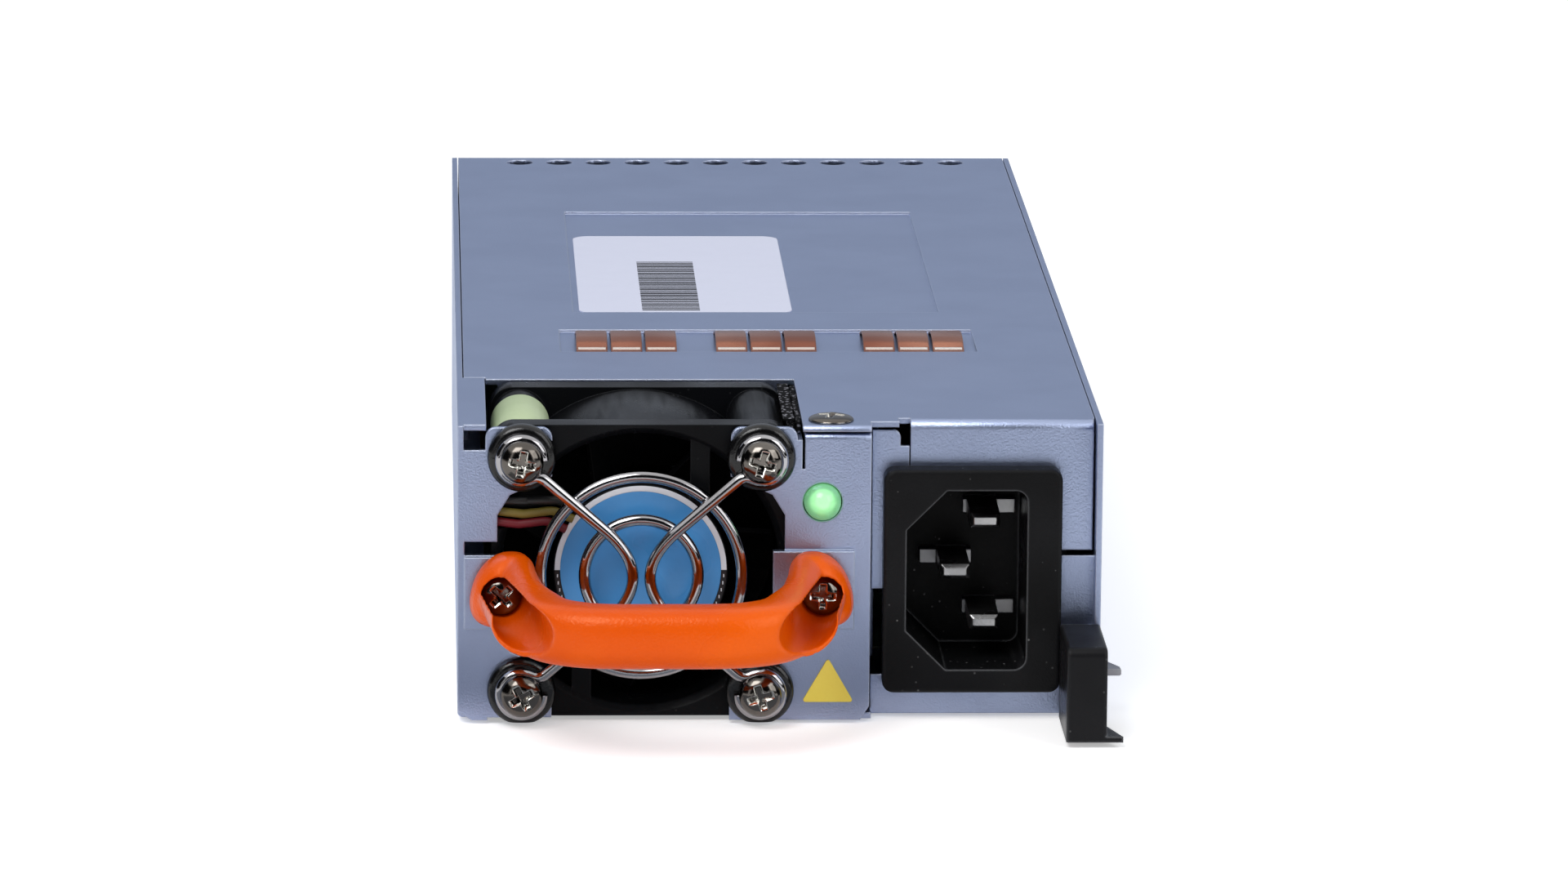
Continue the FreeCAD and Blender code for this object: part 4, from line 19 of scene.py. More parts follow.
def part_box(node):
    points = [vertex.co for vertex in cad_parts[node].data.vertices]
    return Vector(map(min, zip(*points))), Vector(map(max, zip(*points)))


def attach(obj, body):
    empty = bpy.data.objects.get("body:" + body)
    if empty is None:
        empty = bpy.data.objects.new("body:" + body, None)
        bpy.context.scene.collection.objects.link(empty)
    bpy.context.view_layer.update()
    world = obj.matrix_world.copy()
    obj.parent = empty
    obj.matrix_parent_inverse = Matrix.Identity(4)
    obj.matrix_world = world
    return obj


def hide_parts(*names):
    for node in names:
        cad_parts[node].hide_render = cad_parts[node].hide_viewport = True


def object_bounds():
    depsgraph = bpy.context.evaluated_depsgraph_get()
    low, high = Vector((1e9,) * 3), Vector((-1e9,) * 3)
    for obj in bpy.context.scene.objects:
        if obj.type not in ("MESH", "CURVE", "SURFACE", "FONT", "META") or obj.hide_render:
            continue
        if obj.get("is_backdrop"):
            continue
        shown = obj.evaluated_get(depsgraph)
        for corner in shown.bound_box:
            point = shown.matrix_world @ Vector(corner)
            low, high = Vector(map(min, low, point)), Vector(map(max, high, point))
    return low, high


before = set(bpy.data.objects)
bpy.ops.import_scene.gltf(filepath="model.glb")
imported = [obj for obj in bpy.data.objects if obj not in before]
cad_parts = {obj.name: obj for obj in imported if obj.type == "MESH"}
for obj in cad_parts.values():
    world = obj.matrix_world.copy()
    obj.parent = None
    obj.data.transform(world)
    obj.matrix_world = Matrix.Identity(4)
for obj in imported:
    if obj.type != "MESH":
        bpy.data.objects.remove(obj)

LOG = logging.getLogger("power_supply")
CASE_BODY = "case"
MM = 0.001
# Points that are closer than this many metres are merged.
SAME_PLACE = 1e-6
# Edges that turn more than this are rounded. ALL_SMOOTH degrees leave no edge sharp.
BEVEL_ANGLE = math.radians(40)
ALL_SMOOTH = 180.0
SQUARE = ((-1, -1), (1, -1), (1, 1), (-1, 1))
Pair = tuple[float, float]
Triple = tuple[float, float, float]
Colour = Triple
Bytes = tuple[int, int, int]
Points = list[Vector]
Piece = bpy.types.Object
Material = bpy.types.Material
Tree = bpy.types.NodeTree
Node = bpy.types.Node
Socket = bpy.types.NodeSocket


# ---- places and small helpers
class Facing(Enum):
    """The way a screw's head looks."""

    FRONT = (0.0, -1.0, 0.0)
    UP = (0.0, 0.0, 1.0)


class Datum:
    """Turns millimetres from the case's left side, front plane and bottom into positions."""

    def __init__(self) -> None:
        """Reads the case's corner from its two sheets."""
        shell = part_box("chassis")[0]
        self.corner = Vector((shell.x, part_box("top_cover")[0].y, shell.z))

    def at(self, across: float, back: float, up: float) -> Vector:
        """Position of a point, by its distances in millimetres."""
        return self.corner + Vector((across, back, up)) * MM


DATUM = Datum()


def srgb(colour: Bytes) -> Colour:
    """Linear channels of a display colour whose channels run from 0 to 255."""
    shares = [value / 255 for value in colour]
    return tuple(share / 12.92 if share <= 0.04045 else ((share + 0.055) / 1.055) ** 2.4
                 for share in shares)


def turns(sides: int) -> list[float]:
    """Angles of equal steps round a full turn."""
    return [2 * math.pi * step / sides for step in range(sides)]


def quarter(steps: int) -> list[float]:
    """Angles of equal steps over a quarter turn, both ends included."""
    return [math.pi / 2 * step / steps for step in range(steps + 1)]


def centre(node: str) -> Vector:
    """Middle of a frame node's box."""
    low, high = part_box(node)
    return (low + high) / 2


class Graph:
    """Adds nodes to a tree with their settings and inputs."""

    def __init__(self, tree: Tree) -> None:
        """Starts on an empty tree."""
        self.tree = tree
        tree.nodes.clear()

    def add(self, kind: str, inputs: dict | None = None, **settings: object) -> Node:
        """Adds one node.

        Args:
            kind: the node's type name.
            inputs: values or sockets for its inputs, by name or place.
            settings: properties of the node.

        Returns:
            The new node.
        """
        node = self.tree.nodes.new(kind)
        for key, value in settings.items():
            setattr(node, key, value)
        for key, value in (inputs or {}).items():
            self.feed(node.inputs[key], value)
        return node

    def feed(self, socket: Socket, value: object) -> None:
        """Joins a socket to another one, or sets its value.

        Args:
            socket: the input.
            value: an output's socket or a plain value.
        """
        if isinstance(value, Socket):
            self.tree.links.new(value, socket)
        else:
            socket.default_value = (*value, 1.0) if socket.type == "RGBA" else value

    def math(self, operation: str, first: object, second: object = 0.0) -> Socket:
        """Result of a sum on two values."""
        node = self.add("ShaderNodeMath", {0: first, 1: second}, operation=operation)
        return node.outputs[0]

    def mix(self, share: object, first: object, second: object) -> Socket:
        """Colour between two colours.

        Args:
            share: amount of the second colour.
            first: colour at a share of 0.
            second: colour at a share of 1.

        Returns:
            The mixed colour's socket.
        """
        node = self.add("ShaderNodeMix", data_type="RGBA")
        for number, value in ((0, share), (6, first), (7, second)):
            self.feed(node.inputs[number], value)
        return node.outputs[2]

    def between(self, value: object, low: float, high: float, start: float,
                end: float) -> Socket:
        """Value moved from the range low to high into the range start to end.

        Args:
            value: the value's socket.
            low: start of the range it comes from.
            high: end of that range.
            start: start of the new range.
            end: end of the new range.

        Returns:
            The moved value's socket.
        """
        node = self.add("ShaderNodeMapRange", {"Value": value, "From Min": low, "From Max": high,
                                               "To Min": start, "To Max": end})
        return node.outputs["Result"]


def new_group(name: str, inputs: dict[str, str], outputs: dict[str, str],
              kind: str = "ShaderNodeTree") -> tuple[Tree, Graph]:
    """Starts a node group with its sockets.

    Args:
        name: the group's name.
        inputs: socket type of each input.
        outputs: socket type of each output.
        kind: the group's own type.

    Returns:
        The group and the graph that fills it.
    """
    group = bpy.data.node_groups.new(name, kind)
    for direction, sockets in (("INPUT", inputs), ("OUTPUT", outputs)):
        for label, socket in sockets.items():
            group.interface.new_socket(label, in_out=direction,
                                       socket_type=f"NodeSocket{socket}")
    return group, Graph(group)


def new_material(name: str) -> tuple[Material, Graph]:
    """Starts a material, with the graph that fills it.

    Args:
        name: the material's name.

    Returns:
        The material and its graph.
    """
    made = bpy.data.materials.new(name)
    made.use_nodes = True
    return made, Graph(made.node_tree)


# ---- shared effects
# Scales of the noises, and the ranges of noise that become a full range of effect.
MOTTLING, SPECKS, PATCHES = 70.0, 900.0, 260.0
MIDDLE, MIDDLE_WIDE = (0.35, 0.65), (0.3, 0.7)


class Effects:
    """Node groups for the surface effects that several finishes share."""

    def __init__(self) -> None:
        """Builds the groups."""
        self.grain = self._grain()
        self.wear = self._wear()
        self.dust = self._dust()

    @staticmethod
    def _grain() -> Tree:
        """Fine noise over a slow mottling, with a bumped normal.

        Returns:
            The group.
        """
        group, graph = new_group("Grain",
                                 {"Scale": "Float", "Depth": "Float", "Normal": "Vector"},
                                 {"Fine": "Float", "Slow": "Float", "Normal": "Vector"})
        enter = graph.add("NodeGroupInput")
        place = graph.add("ShaderNodeTexCoord").outputs["Object"]
        fine = graph.add("ShaderNodeTexNoise", {"Vector": place, "Scale": enter.outputs["Scale"],
                                                "Detail": 3.0}).outputs["Fac"]
        slow = graph.add("ShaderNodeTexNoise", {"Vector": place, "Scale": MOTTLING,
                                                "Detail": 2.0}).outputs["Fac"]
        bump = graph.add("ShaderNodeBump", {"Strength": enter.outputs["Depth"],
                                            "Distance": 0.0001, "Height": fine,
                                            "Normal": enter.outputs["Normal"]})
        graph.add("NodeGroupOutput", {"Fine": fine, "Slow": slow, "Normal": bump.outputs[0]})
        return group

    @staticmethod
    def _wear() -> Tree:
        """Rounded normal at edges and a mask that is one along them, which paints the edge colour
        on as rubbing and as painted highlight.

        Returns:
            The group.
        """
        group, graph = new_group("Edge wear", {"Radius": "Float"},
                                 {"Mask": "Float", "Normal": "Vector"})
        enter = graph.add("NodeGroupInput")
        soft = graph.add("ShaderNodeBevel", {"Radius": enter.outputs["Radius"]}, samples=4)
        true = graph.add("ShaderNodeNewGeometry").outputs["True Normal"]
        match = graph.add("ShaderNodeVectorMath", {0: soft.outputs[0], 1: true},
                          operation="DOT_PRODUCT")
        mask = graph.between(match.outputs["Value"], 0.97, 0.75, 0.0, 1.0)
        graph.add("NodeGroupOutput", {"Mask": mask, "Normal": soft.outputs[0]})
        return group

    @staticmethod
    def _dust() -> Tree:
        """Sparse specks, denser on faces that look up.

        Returns:
            The group.
        """
        group, graph = new_group("Dust", {"Amount": "Float"}, {"Mask": "Float"})
        enter = graph.add("NodeGroupInput")
        place = graph.add("ShaderNodeTexCoord").outputs["Object"]
        cells = graph.add("ShaderNodeTexVoronoi", {"Vector": place, "Scale": SPECKS})
        speck = graph.between(cells.outputs["Distance"], 0.10, 0.16, 1.0, 0.0)
        spread = graph.add("ShaderNodeTexNoise", {"Vector": place,
                                                  "Scale": PATCHES}).outputs["Fac"]
        patch = graph.between(spread, 0.52, 0.68, 0.0, 1.0)
        upward = graph.add("ShaderNodeSeparateXYZ", {
            0: graph.add("ShaderNodeNewGeometry").outputs["Normal"]}).outputs["Z"]
        lie = graph.between(upward, -0.2, 0.9, 0.35, 1.0)
        mask = graph.math("MULTIPLY", graph.math("MULTIPLY", speck, patch), lie)
        graph.add("NodeGroupOutput", {"Mask": graph.math("MULTIPLY", mask,
                                                         enter.outputs["Amount"])})
        return group


EFFECTS = Effects()


# ---- finishes
DUST_GREY = (0.55, 0.55, 0.55)


@dataclass(frozen=True)
class Finish:
    """A surface: colour, gloss, grain, an edge colour that stands for rubbing and painted
    highlight, and dust.

    Attributes:
        name: the material's name.
        colour: main linear colour.
        shade: colour of the slow mottling.
        metallic: 1 for bare metal.
        roughness: mean roughness.
        spread: how far the roughness varies.
        grain: scale of the fine grain.
        depth: strength of the grain's bump.
        edge: colour along the edges, partly rubbing and partly painted highlight.
        wear: share of the edge colour.
        radius: rounding of the edges in metres.
        dust: amount of dust.
        gloss: strength of the reflections where it isn't metal.
        graze: tint of the reflections at a low angle.
    """

    name: str
    colour: Colour
    shade: Colour
    metallic: float = 0.0
    roughness: float = 0.5
    spread: float = 0.1
    grain: float = 2500.0
    depth: float = 0.15
    edge: Colour = (0.6, 0.6, 0.6)
    wear: float = 0.0
    radius: float = 0.0002
    dust: float = 0.0
    gloss: float = 0.5
    graze: Colour = (1.0, 1.0, 1.0)

    def material(self) -> Material:
        """The finish's material, made once."""
        found = bpy.data.materials.get(self.name)
        return found or self._build()

    def _build(self) -> Material:
        """Builds the material's tree.

        Returns:
            The material.
        """
        made, graph = new_material(self.name)
        wear = graph.add("ShaderNodeGroup", {"Radius": self.radius}, node_tree=EFFECTS.wear)
        grain = graph.add("ShaderNodeGroup", {"Scale": self.grain, "Depth": self.depth,
                                              "Normal": wear.outputs["Normal"]},
                          node_tree=EFFECTS.grain)
        colour = self.pattern(graph, grain)
        # Mixes in the edge colour: rubbing, and on several finishes a painted highlight.
        worn_and_highlit = graph.math("MULTIPLY", wear.outputs["Mask"], self.wear)
        colour = graph.mix(worn_and_highlit, colour, self.edge)
        if self.dust:
            dust = graph.add("ShaderNodeGroup", {"Amount": self.dust}, node_tree=EFFECTS.dust)
            colour = graph.mix(dust.outputs["Mask"], colour, DUST_GREY)
        rough = graph.between(grain.outputs["Slow"], *MIDDLE_WIDE, self.roughness - self.spread,
                              self.roughness + self.spread)
        shader = graph.add("ShaderNodeBsdfPrincipled", {
            "Base Color": colour, "Roughness": rough, "Normal": grain.outputs["Normal"],
            "Metallic": self.metallic, "Specular IOR Level": self.gloss,
            "Specular Tint": self.graze})
        self.extra(graph, shader)
        graph.add("ShaderNodeOutputMaterial", {"Surface": shader.outputs[0]})
        return made

    def pattern(self, graph: Graph, grain: Node) -> Socket:
        """Colour before the edge colour, which is rubbing and painted highlight, and before dust.

        Args:
            graph: the material's graph.
            grain: its grain group.

        Returns:
            The colour's socket.
        """
        share = graph.between(grain.outputs["Slow"], *MIDDLE, 0.0, 1.0)
        base = graph.mix(share, self.colour, self.shade)
        speckle = graph.between(grain.outputs["Fine"], *MIDDLE_WIDE, 0.0, 0.25)
        return graph.mix(speckle, base, self.shade)

    def extra(self, graph: Graph, shader: Node) -> None:
        """Adds what a finish has beyond the common settings."""


@dataclass(frozen=True)
class ClearFinish(Finish):
    """A see-through finish that may glow.

    Attributes:
        clear: share of light let through.
        glow: strength of the light it gives.
        heart: colour of that light where the surface faces the viewer.
    """

    clear: float = 0.6
    glow: float = 0.0
    heart: Colour = (0.8, 1.0, 0.75)

    def extra(self, graph: Graph, shader: Node) -> None:
        """Sets transmission and a glow that is palest and strongest in the middle.

        Args:
            graph: the material's graph.
            shader: its main shader.
        """
        shader.inputs["Transmission Weight"].default_value = self.clear
        facing = graph.add("ShaderNodeLayerWeight", {"Blend": 0.5}).outputs["Facing"]
        rim = graph.between(facing, 0.04, 0.42, 0.0, 1.0)
        graph.feed(shader.inputs["Emission Strength"],
                   graph.between(rim, 0.0, 1.0, self.glow, self.glow * 0.3))
        graph.feed(shader.inputs["Emission Color"],
                   graph.mix(rim, self.heart, self.colour))


@dataclass(frozen=True)
class StripedFinish(Finish):
    """A finish with fine stripes round an axis, as on windings and laminations.

    Attributes:
        stripes: stripes in a metre.
        along: axis that the stripes cross.
    """

    stripes: float = 900.0
    along: str = "Z"

    def pattern(self, graph: Graph, grain: Node) -> Socket:
        """Colour with stripes over the mottling.

        Args:
            graph: the material's graph.
            grain: its grain group.

        Returns:
            The colour's socket.
        """
        place = graph.add("ShaderNodeTexCoord").outputs["Object"]
        wave = graph.add("ShaderNodeTexWave", {"Vector": place, "Scale": self.stripes / 20,
                                               "Distortion": 0.3}, bands_direction=self.along)
        share = graph.math("MULTIPLY", wave.outputs["Fac"], 0.75)
        return graph.mix(share, self.colour, self.shade)


@dataclass(frozen=True)
class SpeckledFinish(Finish):
    """A finish of small light and dark cells, as on cut foam.

    Attributes:
        cells: cells in a metre.
    """

    cells: float = 2000.0

    def pattern(self, graph: Graph, grain: Node) -> Socket:
        """Colour between the cells' walls and their dark middles.

        Args:
            graph: the material's graph.
            grain: its grain group.

        Returns:
            The colour's socket.
        """
        place = graph.add("ShaderNodeTexCoord").outputs["Object"]
        cell = graph.add("ShaderNodeTexVoronoi", {"Vector": place, "Scale": self.cells})
        share = graph.between(cell.outputs["Distance"], 0.12, 0.4, 0.0, 1.0)
        return graph.mix(share, self.colour, self.shade)


def coat(name: str, colour: Bytes, shade: Bytes, roughness: float,
         kind: type[Finish] = Finish, **more: object) -> Finish:
    """A finish from display colours.

    Args:
        name: the material's name.
        colour: main colour, channels 0 to 255.
        shade: colour of the slow mottling.
        roughness: mean roughness.
        kind: the finish's class.
        more: other fields, the edge as a display colour too.

    Returns:
        The finish.
    """
    if "edge" in more:
        more["edge"] = srgb(more["edge"])
    return kind(name, srgb(colour), srgb(shade), roughness=roughness, **more)


def metal(name: str, colour: Bytes, shade: Bytes, roughness: float, **more: object) -> Finish:
    """A bare metal finish."""
    return coat(name, colour, shade, roughness, metallic=1.0, **more)


# The sheet's pale edge colour is a painted highlight along its bends and edges.
CASE_STEEL = metal("Zinc plated sheet", (172, 184, 214), (164, 176, 206), 0.36, spread=0.015,
                   grain=3800.0, depth=0.5, edge=(226, 232, 246), wear=0.75, radius=0.00035,
                   graze=(0.9, 0.93, 0.96))
CHROME = metal("Chromed wire", (184, 183, 186), (160, 158, 160), 0.06, spread=0.02, grain=900.0,
               depth=0.03)
# The screws' pale edge colour is a painted highlight along the cross and the head's rim.
SCREW_CHROME = metal("Nickel plated screw", (122, 117, 112), (92, 87, 82), 0.12, spread=0.06,
                     grain=1800.0, depth=0.1, edge=(236, 234, 226), wear=0.8)
SHAFT_STEEL = metal("Ground steel", (190, 190, 192), (165, 165, 170), 0.25)
SPRING_STEEL = metal("Spring steel", (172, 172, 176), (140, 140, 146), 0.32, edge=(215, 215, 218),
                     wear=0.5)
# The fingers' pale edge colour is a painted highlight along their edges.
COPPER = metal("Tinned copper finger", (190, 130, 106), (150, 92, 72), 0.26, grain=3000.0,
               edge=(246, 232, 222), wear=0.5)
# Near white band on each finger's front slope: a painted highlight.
FINGER_HIGHLIGHT = metal("Tinned edge", (255, 246, 238), (246, 226, 212), 0.22, grain=3000.0)
BRASS = metal("Nickel plated blade", (176, 176, 176), (140, 140, 142), 0.3, edge=(220, 220, 220),
              wear=0.5)
GOLD = metal("Gold contact", (214, 176, 92), (190, 150, 70), 0.28)
ALUMINIUM = metal("Black anodised heat sink", (70, 72, 76), (48, 50, 54), 0.45)
FAN_PLASTIC = coat("Black fan plastic", (14, 15, 18), (9, 10, 12), 0.33, gloss=0.1, grain=5000.0,
                   depth=0.2, edge=(70, 72, 76), wear=0.35, dust=0.12)
ROTOR_PLASTIC = coat("Black rotor plastic", (20, 20, 22), (13, 13, 15), 0.42, gloss=0.12,
                     edge=(56, 57, 60), wear=0.25, dust=0.1)
# The inlet's pale edge colour is a painted highlight along its rims and chamfers.
INLET_PLASTIC = coat("Black inlet plastic", (19, 19, 21), (12, 12, 13), 0.36, gloss=0.12,
                     grain=4200.0, depth=0.3, edge=(150, 152, 156), wear=0.5, dust=0.5,
                     radius=0.0005)
# The cap's pale edge colour is wear and a painted highlight along its rounded edges.
CAP_PLASTIC = coat("Black lever plastic", (26, 26, 28), (17, 17, 19), 0.33, gloss=0.12,
                   grain=3800.0, depth=0.2, edge=(160, 162, 166), wear=0.45, dust=0.3,
                   radius=0.0005)
HANDLE_PLASTIC = coat("Orange handle plastic", (228, 89, 0), (218, 78, 0), 0.27, spread=0.03,
                      grain=2600.0, depth=0.7, dust=0.03, gloss=0.5, graze=(1.0, 0.6, 0.34))
RUBBER = coat("Black rubber", (12, 12, 13), (8, 8, 9), 0.18, gloss=0.5, spread=0.06, grain=2600.0,
              depth=0.25)
FOAM = coat("Dark foam", (150, 150, 158), (16, 16, 18), 0.9, SpeckledFinish, grain=1500.0,
            depth=0.9, gloss=0.08, cells=1500.0)
GREEN_TAPE = coat("Pale green tape", (190, 205, 165), (172, 190, 146), 0.5, grain=1800.0,
                  depth=0.3)
PCB = coat("Green board", (30, 78, 48), (20, 58, 36), 0.35, grain=900.0)
FILM = coat("Insulating film", (212, 208, 190), (196, 190, 168), 0.4)
LABEL_WHITE = coat("White label", (222, 225, 244), (214, 217, 236), 0.4, grain=1500.0, depth=0.1)
BAR_INK = coat("Printed bars", (20, 20, 30), (32, 32, 42), 0.45, grain=1500.0)
HUB_BLUE = coat("Blue print", (76, 156, 222), (68, 146, 212), 0.35, grain=1500.0, depth=0.1)
HUB_WHITE = coat("White print", (232, 235, 240), (218, 222, 230), 0.35)
HUB_BLACK = coat("Black print", (26, 27, 30), (18, 19, 22), 0.35)
YELLOW = coat("Yellow sticker", (232, 212, 84), (220, 198, 72), 0.4)
TRANSISTOR = coat("Moulded transistor", (30, 30, 31), (20, 20, 21), 0.5)
CAN_SLEEVE = coat("Capacitor sleeve", (38, 44, 76), (26, 30, 58), 0.3)
FILM_BOX = coat("Capacitor box", (196, 176, 60), (180, 160, 50), 0.4)
MAGNET = coat("Ferrite magnet", (52, 52, 54), (38, 38, 40), 0.6)
FERRITE = coat("Ferrite core", (66, 66, 68), (48, 48, 50), 0.45)
WINDING = coat("Winding tape", (206, 176, 60), (150, 120, 40), 0.35, StripedFinish)
CHOKE_WIRE = coat("Enamelled wire", (178, 96, 50), (120, 58, 28), 0.3, StripedFinish, metallic=0.6)
STATOR = coat("Stator laminations", (120, 120, 124), (74, 74, 78), 0.4, StripedFinish,
              metallic=1.0, stripes=2000.0, along="Y")
FUSE = coat("Fuse glass", (220, 224, 226), (196, 200, 204), 0.15, ClearFinish, spread=0.02,
            clear=0.3)
LAMP_GREEN = coat("Green lamp", (136, 208, 150), (118, 194, 134), 0.16, ClearFinish, spread=0.04,
                  clear=0.25, glow=0.5, heart=(0.5, 0.84, 0.48))
LAMP_DIE = coat("Lamp die", (216, 255, 206), (200, 250, 190), 0.4, ClearFinish, clear=0.0,
                glow=1.1)
LEAD_BLACK = coat("Black lead", (30, 30, 31), (22, 22, 23), 0.4)
# The red and yellow leads are darker than their insulation: painted shade of the cavity they run
# in.
LEAD_RED_SHADED = coat("Red lead", (120, 20, 36), (98, 14, 26), 0.4)
LEAD_YELLOW_SHADED = coat("Yellow lead", (130, 114, 46), (108, 94, 36), 0.4)


# ---- meshes
class Builder:
    """Collects vertices and faces of one piece and turns them into an object."""

    def __init__(self) -> None:
        """Starts empty."""
        self.mesh = bmesh.new()

    def ring(self, corners: Points) -> list[bmesh.types.BMVert]:
        """Adds a row of vertices."""
        return [self.mesh.verts.new(corner) for corner in corners]

    def bridge(self, first: list, second: list, closed: bool = True) -> None:
        """Joins two rows with quads.

        Args:
            first: one row.
            second: the other row, as long as the first.
            closed: whether the rows close on themselves.
        """
        total = len(first)
        for step in range(total if closed else total - 1):
            after = (step + 1) % total
            self.mesh.faces.new((first[step], first[after], second[after], second[step]))

    def loft(self, rows: list[Points], around: bool = False) -> None:
        """Skins closed rows of points, with caps on both ends unless the skin runs around.

        Args:
            rows: the rows, each as long as the others.
            around: whether the last row joins the first one.
        """
        made = [self.ring(row) for row in rows]
        for first, second in zip(made, made[1:] + (made[:1] if around else [])):
            self.bridge(first, second)
        for end in () if around else (0, -1):
            self.mesh.faces.new(made[end])

    def bar(self, rows: list[Points]) -> None:
        """Skins open rows that lie round a bar, and closes its two ends.

        Args:
            rows: the rows, each as long as the others.
        """
        made = [self.ring(row) for row in rows]
        for first, second in zip(made, made[1:] + made[:1]):
            self.bridge(first, second, closed=False)
        for end in (0, -1):
            self.mesh.faces.new([row[end] for row in made])

    def lathe(self, profile: list[Pair], place: Vector, heading: Vector,
              sides: int = 48) -> None:
        """Turns a profile round an axis.

        Args:
            profile: distances along the axis and radii in millimetres, from end to end.
            place: start of the axis.
            heading: direction of the axis.
            sides: faces round the axis.
        """
        turn = heading.normalized().to_track_quat("Z", "Y").to_matrix()
        sizes = [(along * MM, max(radius * MM, SAME_PLACE)) for along, radius in profile]
        self.loft([[place + turn @ Vector((radius * math.cos(angle), radius * math.sin(angle),
                                           along)) for angle in turns(sides)]
                   for along, radius in sizes])

    def sliced(self, spot: Vector, facing: Vector, **settings: bool) -> None:
        """Cuts every face along a plane.

        Args:
            spot: a point on the plane.
            facing: direction that it faces.
            settings: which side to clear.
        """
        everything = self.mesh.verts[:] + self.mesh.edges[:] + self.mesh.faces[:]
        bmesh.ops.bisect_plane(self.mesh, geom=everything, plane_co=spot, plane_no=facing,
                               **settings)

    def block(self, low: Vector, high: Vector) -> None:
        """Adds a box between two corners.

        Args:
            low: the box's low corner.
            high: its high corner.
        """
        made = bmesh.ops.create_cube(self.mesh, size=1.0)
        for vertex in made["verts"]:
            vertex.co = Vector(low[k] + (vertex.co[k] + 0.5) * (high[k] - low[k])
                               for k in range(3))

    def object(self, name: str, sharp: float = 35.0) -> Piece:
        """Ends the piece: merged doubles, outward normals and smooth faces.

        Args:
            name: the piece's name.
            sharp: degrees between faces above which an edge stays sharp.

        Returns:
            The new object.
        """
        bmesh.ops.remove_doubles(self.mesh, verts=self.mesh.verts, dist=SAME_PLACE)
        bmesh.ops.recalc_face_normals(self.mesh, faces=self.mesh.faces)
        for face in self.mesh.faces:
            face.smooth = True
        for edge in self.mesh.edges:
            edge.smooth = (edge.is_manifold
                           and edge.calc_face_angle(math.pi) < math.radians(sharp))
        data = bpy.data.meshes.new(name)
        self.mesh.to_mesh(data)
        self.mesh.free()
        return linked(name, data)


def linked(name: str, data: bpy.types.ID) -> Piece:
    """A new object in the scene with the given data.

    Args:
        name: the object's name.
        data: its mesh, curve, camera or light.

    Returns:
        The new object.
    """
    made = bpy.data.objects.new(name, data)
    bpy.context.scene.collection.objects.link(made)
    return made


def modify(piece: Piece, kind: str, **settings: object) -> None:
    """Applies a modifier to a piece.

    Args:
        piece: the piece, changed in place.
        kind: the modifier's type.
        settings: its properties.
    """
    made = piece.modifiers.new(kind.title(), kind)
    for key, value in settings.items():
        setattr(made, key, value)
    settled(piece)


def settled(piece: Piece) -> Piece:
    """Replaces a piece's mesh by what its modifiers make of it, and removes them.

    Args:
        piece: a mesh or a curve.

    Returns:
        The piece as a mesh, which is a new object where it was a curve.
    """
    bpy.context.view_layer.update()
    graph = bpy.context.evaluated_depsgraph_get()
    data = bpy.data.meshes.new_from_object(piece.evaluated_get(graph))
    piece.modifiers.clear()
    data.name = piece.name
    if piece.type == "MESH":
        piece.data = data
        return piece
    name = piece.name
    bpy.data.objects.remove(piece)
    return linked(name, data)


def dress(piece: Piece, paint: Material) -> None:
    """Gives a whole piece one material."""
    piece.data.materials.clear()
    piece.data.materials.append(paint)


def place(piece: Piece, finish: Finish | None, slot: str, *nodes: str) -> None:
    """Hands a piece over to the frame. Every piece built here rides on the case.

    Args:
        piece: the finished piece.
        finish: its finish, or None where it already has its materials.
        slot: the record's material slot; not used.
        nodes: frame nodes that it stands for.
    """
    if finish is not None:
        dress(piece, finish.material())
    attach(piece, CASE_BODY)
    if nodes:
        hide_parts(*nodes)
    LOG.info("%s: %d faces on %s", piece.name, len(piece.data.polygons), CASE_BODY)


@dataclass
class SubAssembly:
    """Pieces that belong together.

    Attributes:
        looks: rows of a finish, the rounding of the edges in millimetres or 0, and the names of
            the frame nodes that keep their shape and get them.
    """

    looks: tuple = ()

    def build(self) -> None:
        """Dresses the frame nodes that keep their shape, then makes the other pieces."""
        for finish, rounding, *names in self.looks:
            for name in names:
                dress(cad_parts[name], finish.material())
                if rounding:
                    self._round_edges(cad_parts[name], rounding * MM)
                LOG.info("%s dressed in %s", name, finish.name)
        self.make()

    @staticmethod
    def _round_edges(node: Piece, width: float) -> None:
        """Rounds a node's edges by a width in metres, without a change to its mesh.

        Args:
            node: the frame's node.
            width: width of the rounding in metres.
        """
        node.modifiers.new("Weld", "WELD").merge_threshold = SAME_PLACE
        bevel = node.modifiers.new("Bevel", "BEVEL")
        bevel.width, bevel.segments = width, 2
        bevel.limit_method, bevel.angle_limit = "ANGLE", BEVEL_ANGLE
        bevel.harden_normals = True

    def make(self) -> None:
        """Makes the pieces that stand for frame nodes."""


# ---- repeated pieces
def end_tree(graph: Graph, shape: Socket, finish: Socket) -> None:
    """Ends a geometry tree with plain geometry in one finish.

    Args:
        graph: the tree's graph.
        shape: the geometry that it has made.
        finish: the finish's material.
    """
    real = graph.add("GeometryNodeRealizeInstances", {0: shape})
    painted = graph.add("GeometryNodeSetMaterial", {"Geometry": real.outputs[0],
                                                    "Material": finish})
    graph.add("NodeGroupOutput", {0: painted.outputs[0]})


